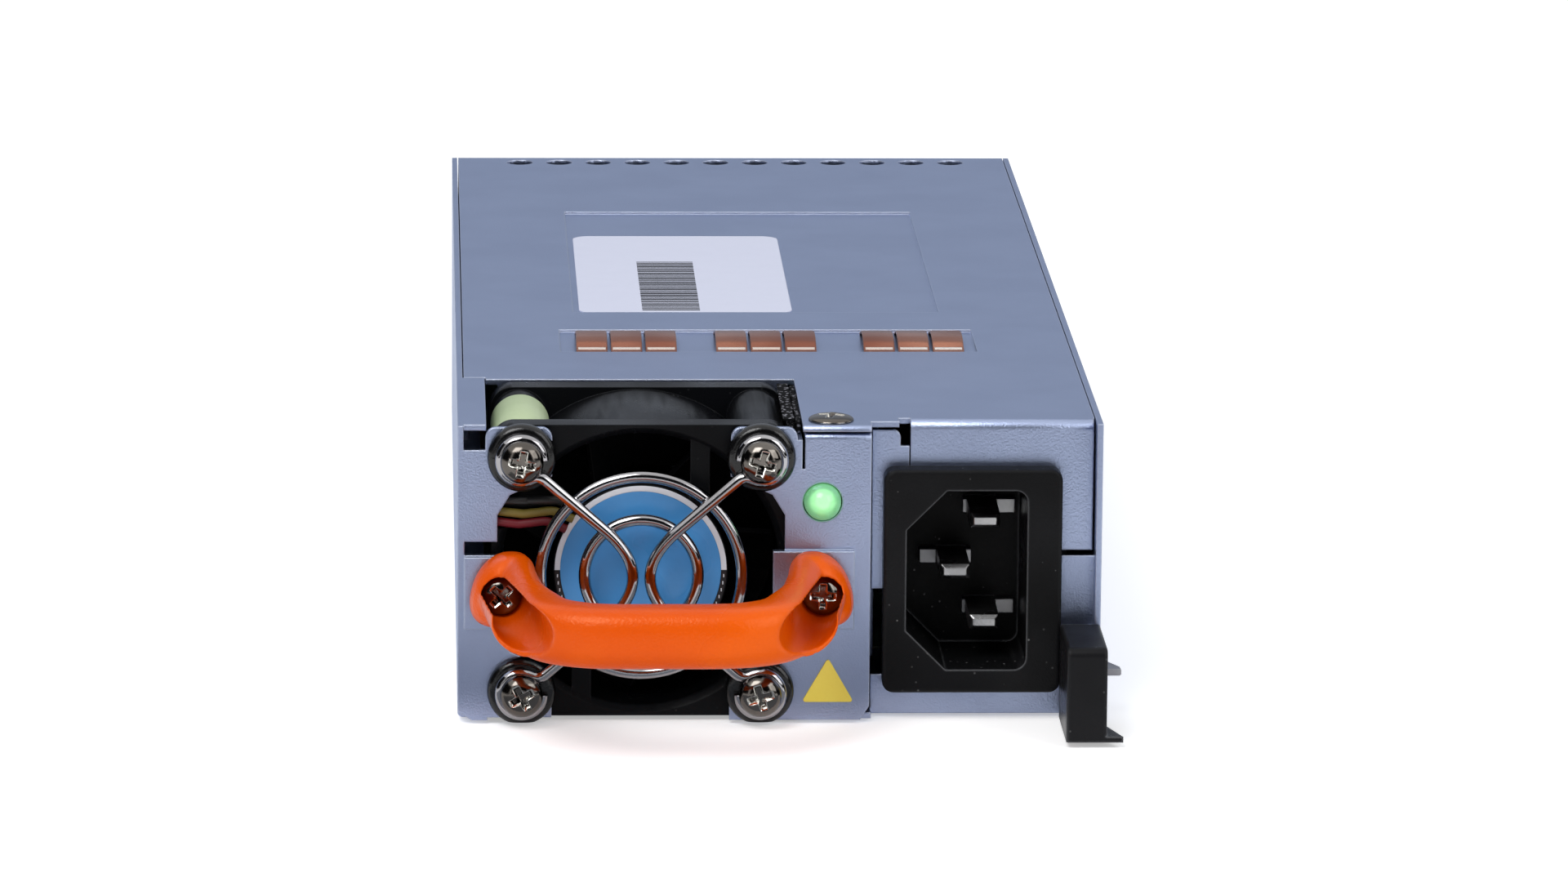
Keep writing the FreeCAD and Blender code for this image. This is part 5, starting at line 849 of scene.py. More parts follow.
def copies_tree() -> Tree:
    """Geometry tree that sets copies of a piece on points, turned at random about one axis.

    Returns:
        The tree.
    """
    tree, graph = new_group(
        "Copies on points",
        {"Geometry": "Geometry", "Piece": "Object", "Finish": "Material", "Turn": "Float",
         "Axis": "Vector", "Seed": "Int"},
        {"Geometry": "Geometry"}, "GeometryNodeTree")
    enter = graph.add("NodeGroupInput").outputs
    chance = graph.add("FunctionNodeRandomValue", {"Seed": enter["Seed"]}, data_type="FLOAT")
    angle = graph.math("MULTIPLY", chance.outputs[1], enter["Turn"])
    turn = graph.add("FunctionNodeAxisAngleToRotation", {"Axis": enter["Axis"], "Angle": angle})
    piece = graph.add("GeometryNodeObjectInfo", {"Object": enter["Piece"]})
    points = graph.add("GeometryNodeMeshToPoints", {"Mesh": enter["Geometry"]})
    spread = graph.add("GeometryNodeInstanceOnPoints", {
        "Points": points.outputs[0], "Instance": piece.outputs["Geometry"],
        "Rotation": turn.outputs[0]})
    end_tree(graph, spread.outputs[0], enter["Finish"])
    return tree


def wire_tree() -> Tree:
    """Geometry tree that gives curves a round section.

    Returns:
        The tree.
    """
    tree, graph = new_group(
        "Round wire",
        {"Geometry": "Geometry", "Radius": "Float", "Sides": "Int", "Finish": "Material"},
        {"Geometry": "Geometry"}, "GeometryNodeTree")
    enter = graph.add("NodeGroupInput").outputs
    section = graph.add("GeometryNodeCurvePrimitiveCircle", {"Resolution": enter["Sides"],
                                                             "Radius": enter["Radius"]})
    solid = graph.add("GeometryNodeCurveToMesh", {"Curve": enter["Geometry"],
                                                  "Profile Curve": section.outputs[0],
                                                  "Fill Caps": True})
    smooth = graph.add("GeometryNodeSetShadeSmooth", {"Geometry": solid.outputs[0]})
    end_tree(graph, smooth.outputs[0], enter["Finish"])
    return tree


COPIES = copies_tree()
WIRE = wire_tree()
WIRE_SIDES = 20


def grown(piece: Piece, tree: Tree, inputs: dict[str, object]) -> Piece:
    """Runs a geometry tree on a piece and keeps the plain mesh.

    Args:
        piece: the piece that carries the points or curves.
        tree: the geometry tree.
        inputs: values of the tree's named inputs.

    Returns:
        The piece as a mesh.
    """
    modifier = piece.modifiers.new(tree.name, "NODES")
    modifier.node_group = tree
    for item in tree.interface.items_tree:
        if item.in_out == "INPUT" and item.name in inputs:
            modifier[item.identifier] = inputs[item.name]
    return settled(piece)


def copies(name: str, template: Piece, places: Points, finish: Finish,
           turn: float = 0.0, axis: Vector = Vector((0, 1, 0)), seed: int = 1) -> Piece:
    """Copies of a template at places, as one mesh.

    Args:
        name: name of the new piece.
        template: the piece to copy, removed afterwards.
        places: where the copies go.
        finish: their finish.
        turn: largest random turn in radians.
        axis: axis of that turn.
        seed: seed of the random turn.

    Returns:
        The new piece.
    """
    data = bpy.data.meshes.new(name)
    data.from_pydata([tuple(point) for point in places], [], [])
    made = grown(linked(name, data), COPIES, {
        "Piece": template, "Finish": finish.material(), "Turn": turn, "Axis": axis,
        "Seed": seed})
    bpy.data.objects.remove(template)
    return made


def wires(name: str, paths: list[Points], radius: float, finish: Finish,
          closed: list[bool] | None = None) -> Piece:
    """Round wires along paths, as one mesh.

    Args:
        name: name of the new piece.
        paths: points of each wire's centre line.
        radius: radius of the wire in metres.
        finish: its finish.
        closed: whether each path closes on itself.

    Returns:
        The new piece.
    """
    curve = bpy.data.curves.new(name, "CURVE")
    curve.dimensions = "3D"
    for number, path in enumerate(paths):
        line = curve.splines.new("POLY")
        line.points.add(len(path) - 1)
        for point, corner in zip(line.points, path):
            point.co = (*corner, 1.0)
        line.use_cyclic_u = bool(closed and closed[number])
    return grown(linked(name, curve), WIRE, {"Radius": radius, "Sides": WIRE_SIDES,
                                             "Finish": finish.material()})


def arc(middle: Vector, radius: float, start: float, end: float, steps: int) -> Points:
    """Points on an arc in an upright plane that faces the front.

    Args:
        middle: centre of the arc.
        radius: its radius in metres.
        start: first angle in degrees, 0 to the right and 90 up.
        end: last angle.
        steps: number of parts.

    Returns:
        The points, both ends included.
    """
    return [middle + Vector((math.cos(angle), 0.0, math.sin(angle))) * radius
            for angle in (math.radians(start + (end - start) * step / steps)
                          for step in range(steps + 1))]


def curved(first: Vector, corner: Vector, last: Vector, steps: int) -> Points:
    """Points on a curve from one place to another that a corner pulls towards itself."""
    return [first * (1 - share) ** 2 + corner * 2 * share * (1 - share) + last * share ** 2
            for share in (step / steps for step in range(steps + 1))]


def rounded(path: Points, radii: list[float], steps: int) -> Points:
    """A path with each inner corner turned into an arc.

    Args:
        path: corners of the path.
        radii: radius at each inner corner in metres.
        steps: parts of each arc.

    Returns:
        Points along the rounded path.
    """
    line = [path[0]]
    for before, corner, after, radius in zip(path, path[1:], path[2:], radii):
        inward, outward = (before - corner).normalized(), (after - corner).normalized()
        half = inward.angle(outward) / 2
        setback = min(radius / math.tan(half), (before - corner).length * 0.49,
                      (after - corner).length * 0.49)
        line += curved(corner + inward * setback, corner, corner + outward * setback, steps)
    return line + [path[-1]]


# ---- sheet-metal case
@dataclass
class Case(SubAssembly):
    """Folded sheets of the case and its rear panel."""

    looks: tuple = ((CASE_STEEL, 0.12, "chassis", "top_cover", "front_bracket",
                     "inlet_bracket"), (CASE_STEEL, 0.0, "rear_panel"))


# ---- screws
# Largest random turn of a cross in radians.
MOST_TURN = 1.5


@dataclass
class CrossScrew:
    """A domed screw with a cross recess.

    Attributes:
        head: diameter of the head.
        rise: height of the head.
        shank: diameter of the shank.
        length: length of the shank.
        slot: width of the recess.
        facing: the way its head looks.
        tip: length of the point.
        plain: length of the plain part under the head.
        pitch: least distance between the thread's ridges.
        flank: width of a ridge's flank.
        brim: height of the head's upright edge, as a share of the head's height.
        reach: half the width of the cross, as a share of the head's diameter.
        deep: depth of the cross, as a share of the head's height.
        taper: width of the cross at its floor, as a share of its width on top.
        point: radius of the point, as a share of the shank's diameter.
        root: radius between the ridges, as a share of it too.
        base: radius of the head's underside, as a share of the head's diameter.
        over: how far the cutter of the cross stands over the head.
    """

    head: float
    rise: float
    shank: float
    length: float
    slot: float
    facing: Facing = Facing.FRONT
    tip: float = 0.5
    plain: float = 0.2
    pitch: float = 0.6
    flank: float = 0.25
    brim: float = 0.12
    reach: float = 0.36
    deep: float = 0.6
    taper: float = 0.6
    point: float = 0.38
    root: float = 0.43
    base: float = 0.485
    over: float = 0.2

    def template(self) -> Piece:
        """One screw with its seat at the origin.

        Returns:
            The screw.
        """
        profile = [(-self.length, self.shank * self.point),
                   (self.tip - self.length, self.shank / 2)]
        profile += self._thread()
        profile += [(0.0, self.shank / 2), (0.0, self.head * self.base),
                    (self.rise * self.brim, self.head / 2)]
        profile += [(self.rise * (self.brim + (1 - self.brim) * math.sin(angle)),
                     self.head / 2 * max(math.cos(angle), 0.02) ** 0.75)
                    for angle in quarter(10)[1:]]
        heading = Vector(self.facing.value)
        solid = Builder()
        solid.lathe(profile, Vector(), heading)
        screw = solid.object("screw_template", 40.0)
        self._recess(screw, heading)
        return screw

    def set_in(self, name: str, seats: Points, seed: int, slot: str, node: str) -> None:
        """Sets screws on their seats, each turned at random, and hands them over.

        Args:
            name: name of the piece that the screws make.
            seats: middles of the faces that the heads rest on.
            seed: seed of the turns.
            slot: the record's material slot.
            node: the frame node that they stand for.
        """
        axis = Vector([abs(value) for value in self.facing.value])
        made = copies(name, self.template(), seats, SCREW_CHROME, MOST_TURN, axis, seed)
        place(made, None, slot, node)

    def _thread(self) -> list[Pair]:
        """Profile of the thread's ridges along the shank.

        Returns:
            Distances along the axis and radii in millimetres.
        """
        count = max(int(self.length / self.pitch), 1)
        thread = self.length - self.tip - self.plain
        ridges = []
        for step in range(count):
            along = self.tip - self.length + thread * step / count
            ridges += [(along, self.shank / 2), (along + self.flank, self.shank * self.root)]
        return ridges

    def _recess(self, screw: Piece, heading: Vector) -> None:
        """Cuts the tapered cross into the head.

        Args:
            screw: the screw, changed in place.
            heading: direction in which its head looks.
        """
        turn = heading.to_track_quat("Z", "Y").to_matrix()
        cutter = Builder()
        reach, floor = self.head * self.reach, self.rise * (1 - self.deep)
        narrow = self.slot / 2 / reach
        for along, across in ((1.0, narrow), (narrow, 1.0)):
            cutter.loft([[turn @ Vector((x * reach * along * share, y * reach * across * share,
                                         level)) * MM for x, y in SQUARE]
                         for share, level in ((self.taper, floor), (1.0, self.rise + self.over))])
        combined(screw, cutter.object("recess_tool"), "DIFFERENCE")


def combined(piece: Piece, tool: Piece, operation: str) -> None:
    """Changes a piece by a tool, which is then removed; operation is UNION or DIFFERENCE."""
    modify(piece, "BOOLEAN", operation=operation, object=tool, solver="EXACT", use_self=True)
    bpy.data.objects.remove(tool)


# ---- fan
# Scale of the foam's pits, and the distance in metres within which a point is on a face.
FOAM_NOISE = 2600.0
ON_FACE = 1e-7
# Rounds of the search for the corner of a bent wire.
SETTLING = 20
# Parts of the arcs: the guard's rings, its hooked eyes, its waist and other bends, the label.
RING_STEPS, HOOK_STEPS, WAIST_STEPS, BEND_STEPS, LABEL_STEPS = 96, 44, 24, 8, 60
# Angles of the first and last mark on the hub label.
TICKS_FROM, TICKS_TO = 184, 356


@dataclass
class FanUnit(SubAssembly):
    """Fan, its rubber mounts, wire guard, screws, leads, tape and foam.

    Attributes:
        rim: diameter of the rubber rims.
        rim_depth: thickness of their front part.
        rim_curve: rounded part of that thickness, as a share.
        groove: width of the groove behind it.
        taper: how much the rear part narrows.
        neck: diameter of their necks.
        bore: diameter of their bores.
        wire: diameter of the guard's wire.
        outer_ring: diameter of the outer ring's centre line.
        inner_ring: diameter of the inner ring's centre line.
        eye: diameter of the eyes' centre line.
        waist: distance between the bent wires at mid height.
        bend: bend radius at the waist.
        weld: depth of the welds.
        hook_bend: degrees of the eye that the bend into it takes up.
        hook_sweep: degrees from the wire to the hook's free end.
        screw: the fixing screws.
        label_ring: width of the ring round the hub label.
        ticks: marks on its lower half.
        tick: width, thickness and length of a mark.
        lead: thickness of a lead.
        lead_pitch: distance between the leads.
        lead_run: length of a lead's first run, in its thicknesses.
        lead_sag: how far the lower leads sag, in their thicknesses.
        foam_cell: size of the foam's cells.
        foam_pit: depth of its pits.
        foam_most: greatest depth of a pit, as a share of the block's size.
        foam_lap: how far the foam's top laps over the fan and over the bracket's wall.
        foam_rise: how far these laps rise over the fan's top.
        foam_short: how far they end before the pad's rear.
        foam_sink: how far the right one starts inside the pad.
        foam_seat: height of that wall's top.
    """

    looks: tuple = (
        (FAN_PLASTIC, 0.12, "fan_frame"), (ROTOR_PLASTIC, 0.0, "fan_rotor"),
        (SHAFT_STEEL, 0.0, "fan_shaft", "fan_bearings"), (MAGNET, 0.0, "fan_magnet"),
        (STATOR, 0.0, "fan_stator"), (GREEN_TAPE, 0.1, "lead_tape"))
    rim: float = 9.2
    rim_depth: float = 1.6
    rim_curve: float = 0.6
    groove: float = 0.8
    taper: float = 0.3
    neck: float = 5.4
    bore: float = 3.7
    wire: float = 1.6
    outer_ring: float = 27.0
    inner_ring: float = 15.2
    eye: float = 5.6
    waist: float = 4.4
    bend: float = 9.0
    weld: float = 0.15
    hook_bend: float = 24.0
    hook_sweep: float = 318.0
    screw: CrossScrew = field(default_factory=lambda: CrossScrew(5.8, 2.0, 3.5, 11.0, 1.15))
    label_ring: float = 0.75
    ticks: int = 34
    tick: Triple = (0.16, 0.02, 0.44)
    lead: float = 1.2
    lead_pitch: float = 1.4
    lead_run: float = 2.2
    lead_sag: float = 0.4
    foam_cell: float = 0.42
    foam_pit: float = 0.3
    foam_most: float = 0.4
    foam_lap: Pair = (1.15, 0.9)
    foam_rise: Pair = (0.5, 0.2)
    foam_short: float = 1.2
    foam_sink: float = 0.05
    foam_seat: float = 38.55

    def make(self) -> None:
        """Makes the mounts, the guard, the screws, the label, the leads and the foam."""
        self.axis = centre("fan_shaft")
        self._rubber_mounts()
        self._guard()
        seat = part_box("fan_screws")[0].y + self.screw.rise * MM
        self.screw.set_in("fan_cross_screws", self._centres(seat), 4, "screw_steel", "fan_screws")
        self._hub_label()
        self._leads()
        self._foam()

    def _centres(self, depth: float) -> Points:
        """Centres of the four fixing holes at a depth in metres.

        Args:
            depth: how far back they are, in metres.

        Returns:
            The four centres.
        """
        low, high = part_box("fan_screws")
        inset = self.screw.head / 2 * MM
        return [Vector((x, depth, z)) for x in (low.x + inset, high.x - inset)
                for z in (low.z + inset, high.z - inset)]

    def _rubber_mounts(self) -> None:
        """Grommets with rounded rims, cut off level with the case's bottom."""
        low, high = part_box("fan_grommets")
        depth = high.y - low.y
        rim, neck, bore = self.rim / 2 * MM, self.neck / 2 * MM, self.bore / 2 * MM
        thick = self.rim_depth * MM
        curve, shoulder = thick * self.rim_curve, thick + self.groove * MM
        rear = rim - thick / 2
        profile = [(0.0, bore)]
        profile += [(curve * (1 - math.cos(angle)), rim - curve * (1 - math.sin(angle)))
                    for angle in quarter(6)]
        profile += [(thick, rim), (thick, neck), (shoulder, neck), (shoulder, rear),
                    (depth, rear - self.taper * MM), (depth, bore)]
        solid = Builder()
        for point in self._centres(low.y):
            solid.loft([[point + Vector((radius * math.cos(turn), along,
                                         radius * math.sin(turn))) for turn in turns(48)]
                        for along, radius in profile], around=True)
        solid.sliced(Vector((0, 0, DATUM.at(0, 0, 0).z)), Vector((0, 0, -1)), clear_outer=True)
        bmesh.ops.holes_fill(solid.mesh, edges=[edge for edge in solid.mesh.edges
                                                if edge.is_boundary])
        place(solid.object("rubber_mounts"), RUBBER, "grommet_rubber", "fan_grommets")

    def _guard(self) -> None:
        """Guard of bent wires with hooked eyes over two rings."""
        wire = self.wire * MM
        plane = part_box("fan_grommets")[0].y - wire / 2
        behind = plane + wire - self.weld * MM
        middle = Vector((self.axis.x, behind, self.axis.z))
        rings = [arc(middle, size / 2 * MM, 0, 360, RING_STEPS)[:-1]
                 for size in (self.outer_ring, self.inner_ring)]
        paths = rings + [self._bent_wire(side, plane) for side in (-1, 1)]
        made = wires("finger_guard_wires", paths, wire / 2, CHROME, [True, True, False, False])
        place(made, None, "guard_chrome", "finger_guard")

    def _bent_wire(self, side: int, plane: float) -> Points:
        """One wire: hooked eye, bend at the waist, hooked eye.

        Args:
            side: -1 for the left wire, 1 for the right one.
            plane: depth of the wire's centre line in metres.

        Returns:
            Points from the upper hook to the lower one.
        """
        eyes = [point for point in self._centres(plane)
                if (point.x - self.axis.x) * side > 0]
        upper = max(eyes, key=lambda point: point.z)
        corner = Vector((self.axis.x + side * self.waist / 2 * MM, plane, self.axis.z))
        waist = corner.x
        # The corner's place sets the wire's slope, and the slope sets how far the bend cuts it.
        for _ in range(SETTLING):
            lean = (upper - corner).normalized()
            slope = math.atan2(lean.z, abs(lean.x))
            corner.x = waist - side * self.bend * MM * (1 / math.sin(slope) - 1)
        half = self._hook(upper, corner, side)
        mirrored = [Vector((p.x, p.y, 2 * self.axis.z - p.z)) for p in reversed(half)]
        return half + rounded([half[-1], corner, mirrored[0]], [self.bend * MM],
                              WAIST_STEPS)[1:-1] + mirrored

    def _hook(self, eye: Vector, corner: Vector, side: int) -> Points:
        """Points of a hooked eye, from its free end to where the wire leaves it.

        Args:
            eye: the eye's middle.
            corner: the point that the wire heads for.
            side: -1 where the hook turns clockwise from the wire, 1 where it turns back.

        Returns:
            The loop, the tight bend after it and the start of the straight wire.
        """
        reach, bend = self.eye / 2 * MM, math.radians(self.hook_bend)
        toward = (corner - eye).normalized()
        heading = math.degrees(math.atan2(toward.z, toward.x))
        loop = arc(eye, reach, heading + side * self.hook_bend,
                   heading + side * self.hook_sweep, HOOK_STEPS)
        knee = eye + toward * (reach / math.cos(bend))
        leave = knee + toward * (reach * math.tan(bend))
        return list(reversed(loop)) + curved(loop[0], knee, leave, BEND_STEPS)[1:]

    def _hub_label(self) -> None:
        """Round label: blue disc, white ring above, black ring with ticks below."""
        low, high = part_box("hub_label")
        outer, thick = (high.x - low.x) / 2, high.y - low.y
        inner = outer - self.label_ring * MM
        heart = Vector((self.axis.x, low.y, self.axis.z))
        disc = Builder()
        disc.lathe([(0.0, inner / MM), (thick / MM, inner / MM)], heart, Vector((0, 1, 0)), 72)
        place(disc.object("hub_disc"), HUB_BLUE, "hub_print", "hub_label")
        for name, start, finish in (("hub_white_ring", 0, HUB_WHITE),
                                    ("hub_black_ring", 180, HUB_BLACK)):
            band = Builder()
            band.bar([arc(heart + Vector((0, shift, 0)), size, start, start + 180, LABEL_STEPS)
                      for size, shift in ((inner, 0.0), (outer, 0.0), (outer, thick),
                                          (inner, thick))])
            place(band.object(name), finish, "hub_print")
        mark = Builder()
        across, deep, tall = self.tick
        mark.block(Vector((-across / 2, -deep, -tall / 2)) * MM,
                   Vector((across / 2, 0.0, tall / 2)) * MM)
        ring = arc(heart, (inner + outer) / 2, TICKS_FROM, TICKS_TO, self.ticks)
        made = copies("hub_ticks", mark.object("tick"), ring, HUB_WHITE)
        place(made, None, "hub_print")

    def _leads(self) -> None:
        """Three thin leads from the hub label's edge to the notch and back beside the barrel."""
        low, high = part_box("fan_leads")
        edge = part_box("hub_label")
        radius = (edge[1].x - edge[0].x) / 2
        thick, pitch = self.lead * MM, self.lead_pitch * MM
        depth = low.y + thick / 2
        # The yellow and red leads carry painted shade in their colours.
        for number, (name, finish) in enumerate((("lead_black", LEAD_BLACK),
                                                 ("lead_yellow", LEAD_YELLOW_SHADED),
                                                 ("lead_red", LEAD_RED_SHADED))):
            level = high.z - thick / 2 - number * pitch
            side = low.x + thick / 2 + (2 - number) * thick / 4
            rise = level - thick - self.axis.z
            reach = max(radius ** 2 - rise ** 2, 0.0) ** 0.5
            start = Vector((min(self.axis.x - reach, high.x - thick / 2), depth, level - thick))
            bend = Vector((start.x - self.lead_run * thick, depth, level))
            sag = Vector(((bend.x + side) / 2, depth,
                          level - self.lead_sag * thick * (number > 0)))
            path = rounded([start, bend, sag, Vector((side, depth, level)),
                            Vector((side, high.y, level))],
                           [2 * thick, 3 * thick, thick], BEND_STEPS)
            nodes = ("fan_leads",) if number == 0 else ()
            place(wires(name, [path], thick / 2, finish), None, "lead_insulation", *nodes)

    def _foam(self) -> None:
        """Foam pad beside the fan, with a torn top that laps over what it touches."""
        low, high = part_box("foam_pad")
        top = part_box("fan_frame")[1].z
        seat = DATUM.at(0, 0, self.foam_seat).z
        before, beyond = self.foam_lap
        rear = high.y - self.foam_short * MM
        blocks = ((low, high, "foam_strip", ("foam_pad",)),
                  (Vector((high.x - self.foam_sink * MM, low.y, seat)),
                   Vector((high.x + beyond * MM, rear, top + self.foam_rise[1] * MM)),
                   "foam_lap_right", ()),
                  (Vector((low.x - before * MM, low.y, top)),
                   Vector((high.x, rear, top + self.foam_rise[0] * MM)), "foam_lap_left", ()))
        for start, end, name, nodes in blocks:
            place(self._torn(start, end, name), FOAM, "foam", *nodes)

    def _torn(self, low: Vector, high: Vector, name: str) -> Piece:
        """A block with pits all over.

        Args:
            low: its low corner.
            high: its high corner.
            name: the piece's name.

        Returns:
            The block.
        """
        solid = Builder()
        solid.block(low, high)
        for axis in range(3):
            count = max(int((high[axis] - low[axis]) / (self.foam_cell * MM)), 2)
            for step in range(1, count):
                spot = low.copy()
                spot[axis] += (high[axis] - low[axis]) * step / count
                solid.sliced(spot, Vector([float(k == axis) for k in range(3)]))
        heart = (low + high) / 2
        for vertex in solid.mesh.verts:
            pull = 0.5 + 0.5 * noise(vertex.co * FOAM_NOISE)
            away = vertex.co - heart
            for axis in range(3):
                reach = high[axis] - low[axis]
                if abs(abs(away[axis]) - reach / 2) < ON_FACE:
                    pit = min(self.foam_pit * MM, reach * self.foam_most)
                    vertex.co[axis] -= math.copysign(pull * pit, away[axis])
        return solid.object(name, ALL_SMOOTH)


# ---- pull handle
# Points round a bored or raised channel.
CHANNEL_SIDES = 60
# An angle in degrees and its mirror image from left to right add up to this, a turn on.
MIRROR = 540


@dataclass
class PullHandle(SubAssembly):
    """Moulded handle with screw lobes and screwdriver scoops, and its two screws.

    Attributes:
        stations: along the left half from the seat to the middle: distance from the left side,
            depth, width across the run, bottom, top, roundness of the section and how far
            its top leans inwards.
        middle: the handle's middle, from the left side.
        scoop: radius of the scoops at the screw and at their front end.
        scoop_lean: how far the scoops lean inwards and upwards over the handle's reach.
        gutter: outer radii of the gutter under each scoop, and its front end.
        gutter_ends: first and last angle of the left gutter's section in degrees.
        slant: how much further back the gutter ends for each millimetre outwards.
        floor: plastic under the screw heads.
        fine: parts of the run from one station to the next.
        sides: faces round the handle.
        cell: size of the cells that the surface is rebuilt from.
        soft: share and rounds of the smoothing after it.
        inset: distance of a screw's axis from the end of the box round both screws.
        screw: the two screws.
    """

    stations: tuple = (
        (5.9, -0.8, 7.9, 13.6, 23.6, 0.9, 1.3), (5.9, -2.4, 7.9, 13.6, 23.6, 0.9, 1.3),
        (6.9, -3.3, 6.6, 13.4, 23.6, 0.95, 1.3), (7.4, -5.2, 6.0, 13.3, 23.3, 1.0, 1.2),
        (8.2, -8.6, 6.0, 13.2, 22.8, 1.0, 0.8), (9.2, -12.4, 6.5, 13.15, 22.3, 1.0, 0.4),
        (10.6, -16.7, 7.2, 13.1, 21.8, 0.75, 0.2), (12.4, -20.5, 7.8, 13.1, 21.6, 0.7, 0.0),
        (15.6, -22.8, 7.9, 13.1, 21.5, 0.72, 0.0), (19.8, -23.95, 7.8, 13.1, 21.5, 0.75, 0.0),
        (27.275, -24.05, 7.8, 13.1, 21.5, 0.75, 0.0))
    middle: float = 27.275
    scoop: Pair = (2.9, 3.6)
    scoop_lean: Pair = (4.1, -0.5)
    gutter: Triple = (3.2, 4.05, -20.8)
    gutter_ends: tuple[int, int] = (165, 350)
    slant: float = 0.85
    floor: float = 2.2
    fine: int = 6
    sides: int = 40
    cell: float = 0.3
    soft: tuple[float, int] = (0.5, 8)
    inset: float = 2.5
    screw: CrossScrew = field(default_factory=lambda: CrossScrew(5.6, 2.0, 3.0, 4.5, 1.1))

    def make(self) -> None:
        """Makes the handle and its screws."""
        body = self._body()
        bores = []
        plane = self.stations[0][1] - self.floor
        for point in self._screw_places(DATUM.at(0, plane, 0).y):
            inward = math.copysign(1.0, DATUM.at(self.middle, 0, 0).x - point.x)
            tip = Vector((point.x + inward * self.scoop_lean[0] * MM,
                          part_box("handle")[0].y - self.scoop[1] * MM,
                          point.z + self.scoop_lean[1] * MM))
            share = (DATUM.at(0, self.gutter[2], 0).y - point.y) / (tip.y - point.y)
            first, last = self.gutter_ends
            ends = (first, last) if inward > 0 else (MIRROR - last, MIRROR - first)
            wall = self._channel(point, point.lerp(tip, share), self.gutter[:2], *ends,
                                 inward * self.slant)
            combined(body, wall, "UNION")
            bores.append(self._channel(point, tip, self.scoop, 0, 360 - 360 / CHANNEL_SIDES))
        for bore in bores:
            combined(body, bore, "DIFFERENCE")
        modify(body, "REMESH", mode="VOXEL", voxel_size=self.cell * MM)
        modify(body, "SMOOTH", factor=self.soft[0], iterations=self.soft[1])
        for face in body.data.polygons:
            face.use_smooth = True
        place(body, HANDLE_PLASTIC, "handle_plastic", "handle")
        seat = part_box("handle_screws")[0].y + self.screw.rise * MM
        self.screw.set_in("handle_cross_screws", self._screw_places(seat), 9, "dark_screw",
                          "handle_screws")

    @staticmethod
    def _channel(start: Vector, end: Vector, radii: Pair, low: float,
                 high: float, slant: float = 0.0) -> Piece:
        """A round bar, or the lower part of one, between two places.

        Args:
            start: middle of its first end.
            end: middle of its last end.
            radii: radius at either end in millimetres.
            low: first angle of the section in degrees.
            high: last angle.
            slant: how far the last end leans forward with the distance to the right.

        Returns:
            The bar.
        """
        rows = [arc(middle, radius * MM, low, high, CHANNEL_SIDES - 1)
                for middle, radius in zip((start, end), radii)]
        for corner in rows[1]:
            corner.y -= slant * (corner.x - end.x)
        solid = Builder()
        solid.loft(rows)
        return solid.object("channel")

    def _screw_places(self, depth: float) -> Points:
        """Centres of the two screws at a depth in metres.

        Args:
            depth: how far back they are, in metres.

        Returns:
            The two centres.
        """
        low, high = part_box("handle_screws")
        inset = self.inset * MM
        return [Vector((x, depth, (low.z + high.z) / 2)) for x in (low.x + inset, high.x - inset)]

    def _body(self) -> Piece:
        """Loft along the run, from the left seat to the right one.

        Returns:
            The body, before it gets its channels and bores.
        """
        half = [self._between(step / self.fine)
                for step in range(self.fine * (len(self.stations) - 1) + 1)]
        run = half + [(2 * self.middle - x, *rest, -lean)
                      for x, *rest, lean in reversed(half[:-1])]
        rows = []
        for number, (across, depth, width, low, high, bulge, lean) in enumerate(run):
            before, after = run[max(number - 1, 0)], run[min(number + 1, len(run) - 1)]
            along = Vector((after[0] - before[0], after[1] - before[1], 0)).normalized()
            if number in (0, len(run) - 1):
                along = Vector((0, -1 if number == 0 else 1, 0))
            aside = Vector((-along.y, along.x, 0))
            heart = DATUM.at(across, depth, (low + high) / 2)
            rounds = [(self._round(math.cos(turn), bulge), self._round(math.sin(turn), bulge))
                      for turn in turns(self.sides)]
            rows.append([heart + (aside * (width / 2 * over)
                                  + Vector((lean * up, 0, (high - low) / 2 * up))) * MM
                         for over, up in rounds])
        solid = Builder()
        solid.loft(rows)
        return solid.object("pull_handle_body", ALL_SMOOTH)

    @staticmethod
    def _round(value: float, bulge: float) -> float:
        """Coordinate on a section: an ellipse at a bulge of 1, squarer below it."""
        return math.copysign(abs(value) ** bulge, value)

    def _between(self, place_on: float) -> tuple:
        """Smooth values at a place on the run, counted in stations.

        Args:
            place_on: the place.

        Returns:
            A value for each entry of a station.
        """
        number = min(int(place_on), len(self.stations) - 2)
        share = place_on - number
        rows = [self.stations[min(max(number + k, 0), len(self.stations) - 1)]
                for k in (-1, 0, 1, 2)]
        return tuple(0.5 * (2 * b + (c - a) * share + (2 * a - 5 * b + 4 * c - d) * share ** 2
                            + (3 * b - a - 3 * c + d) * share ** 3) for a, b, c, d in zip(*rows))


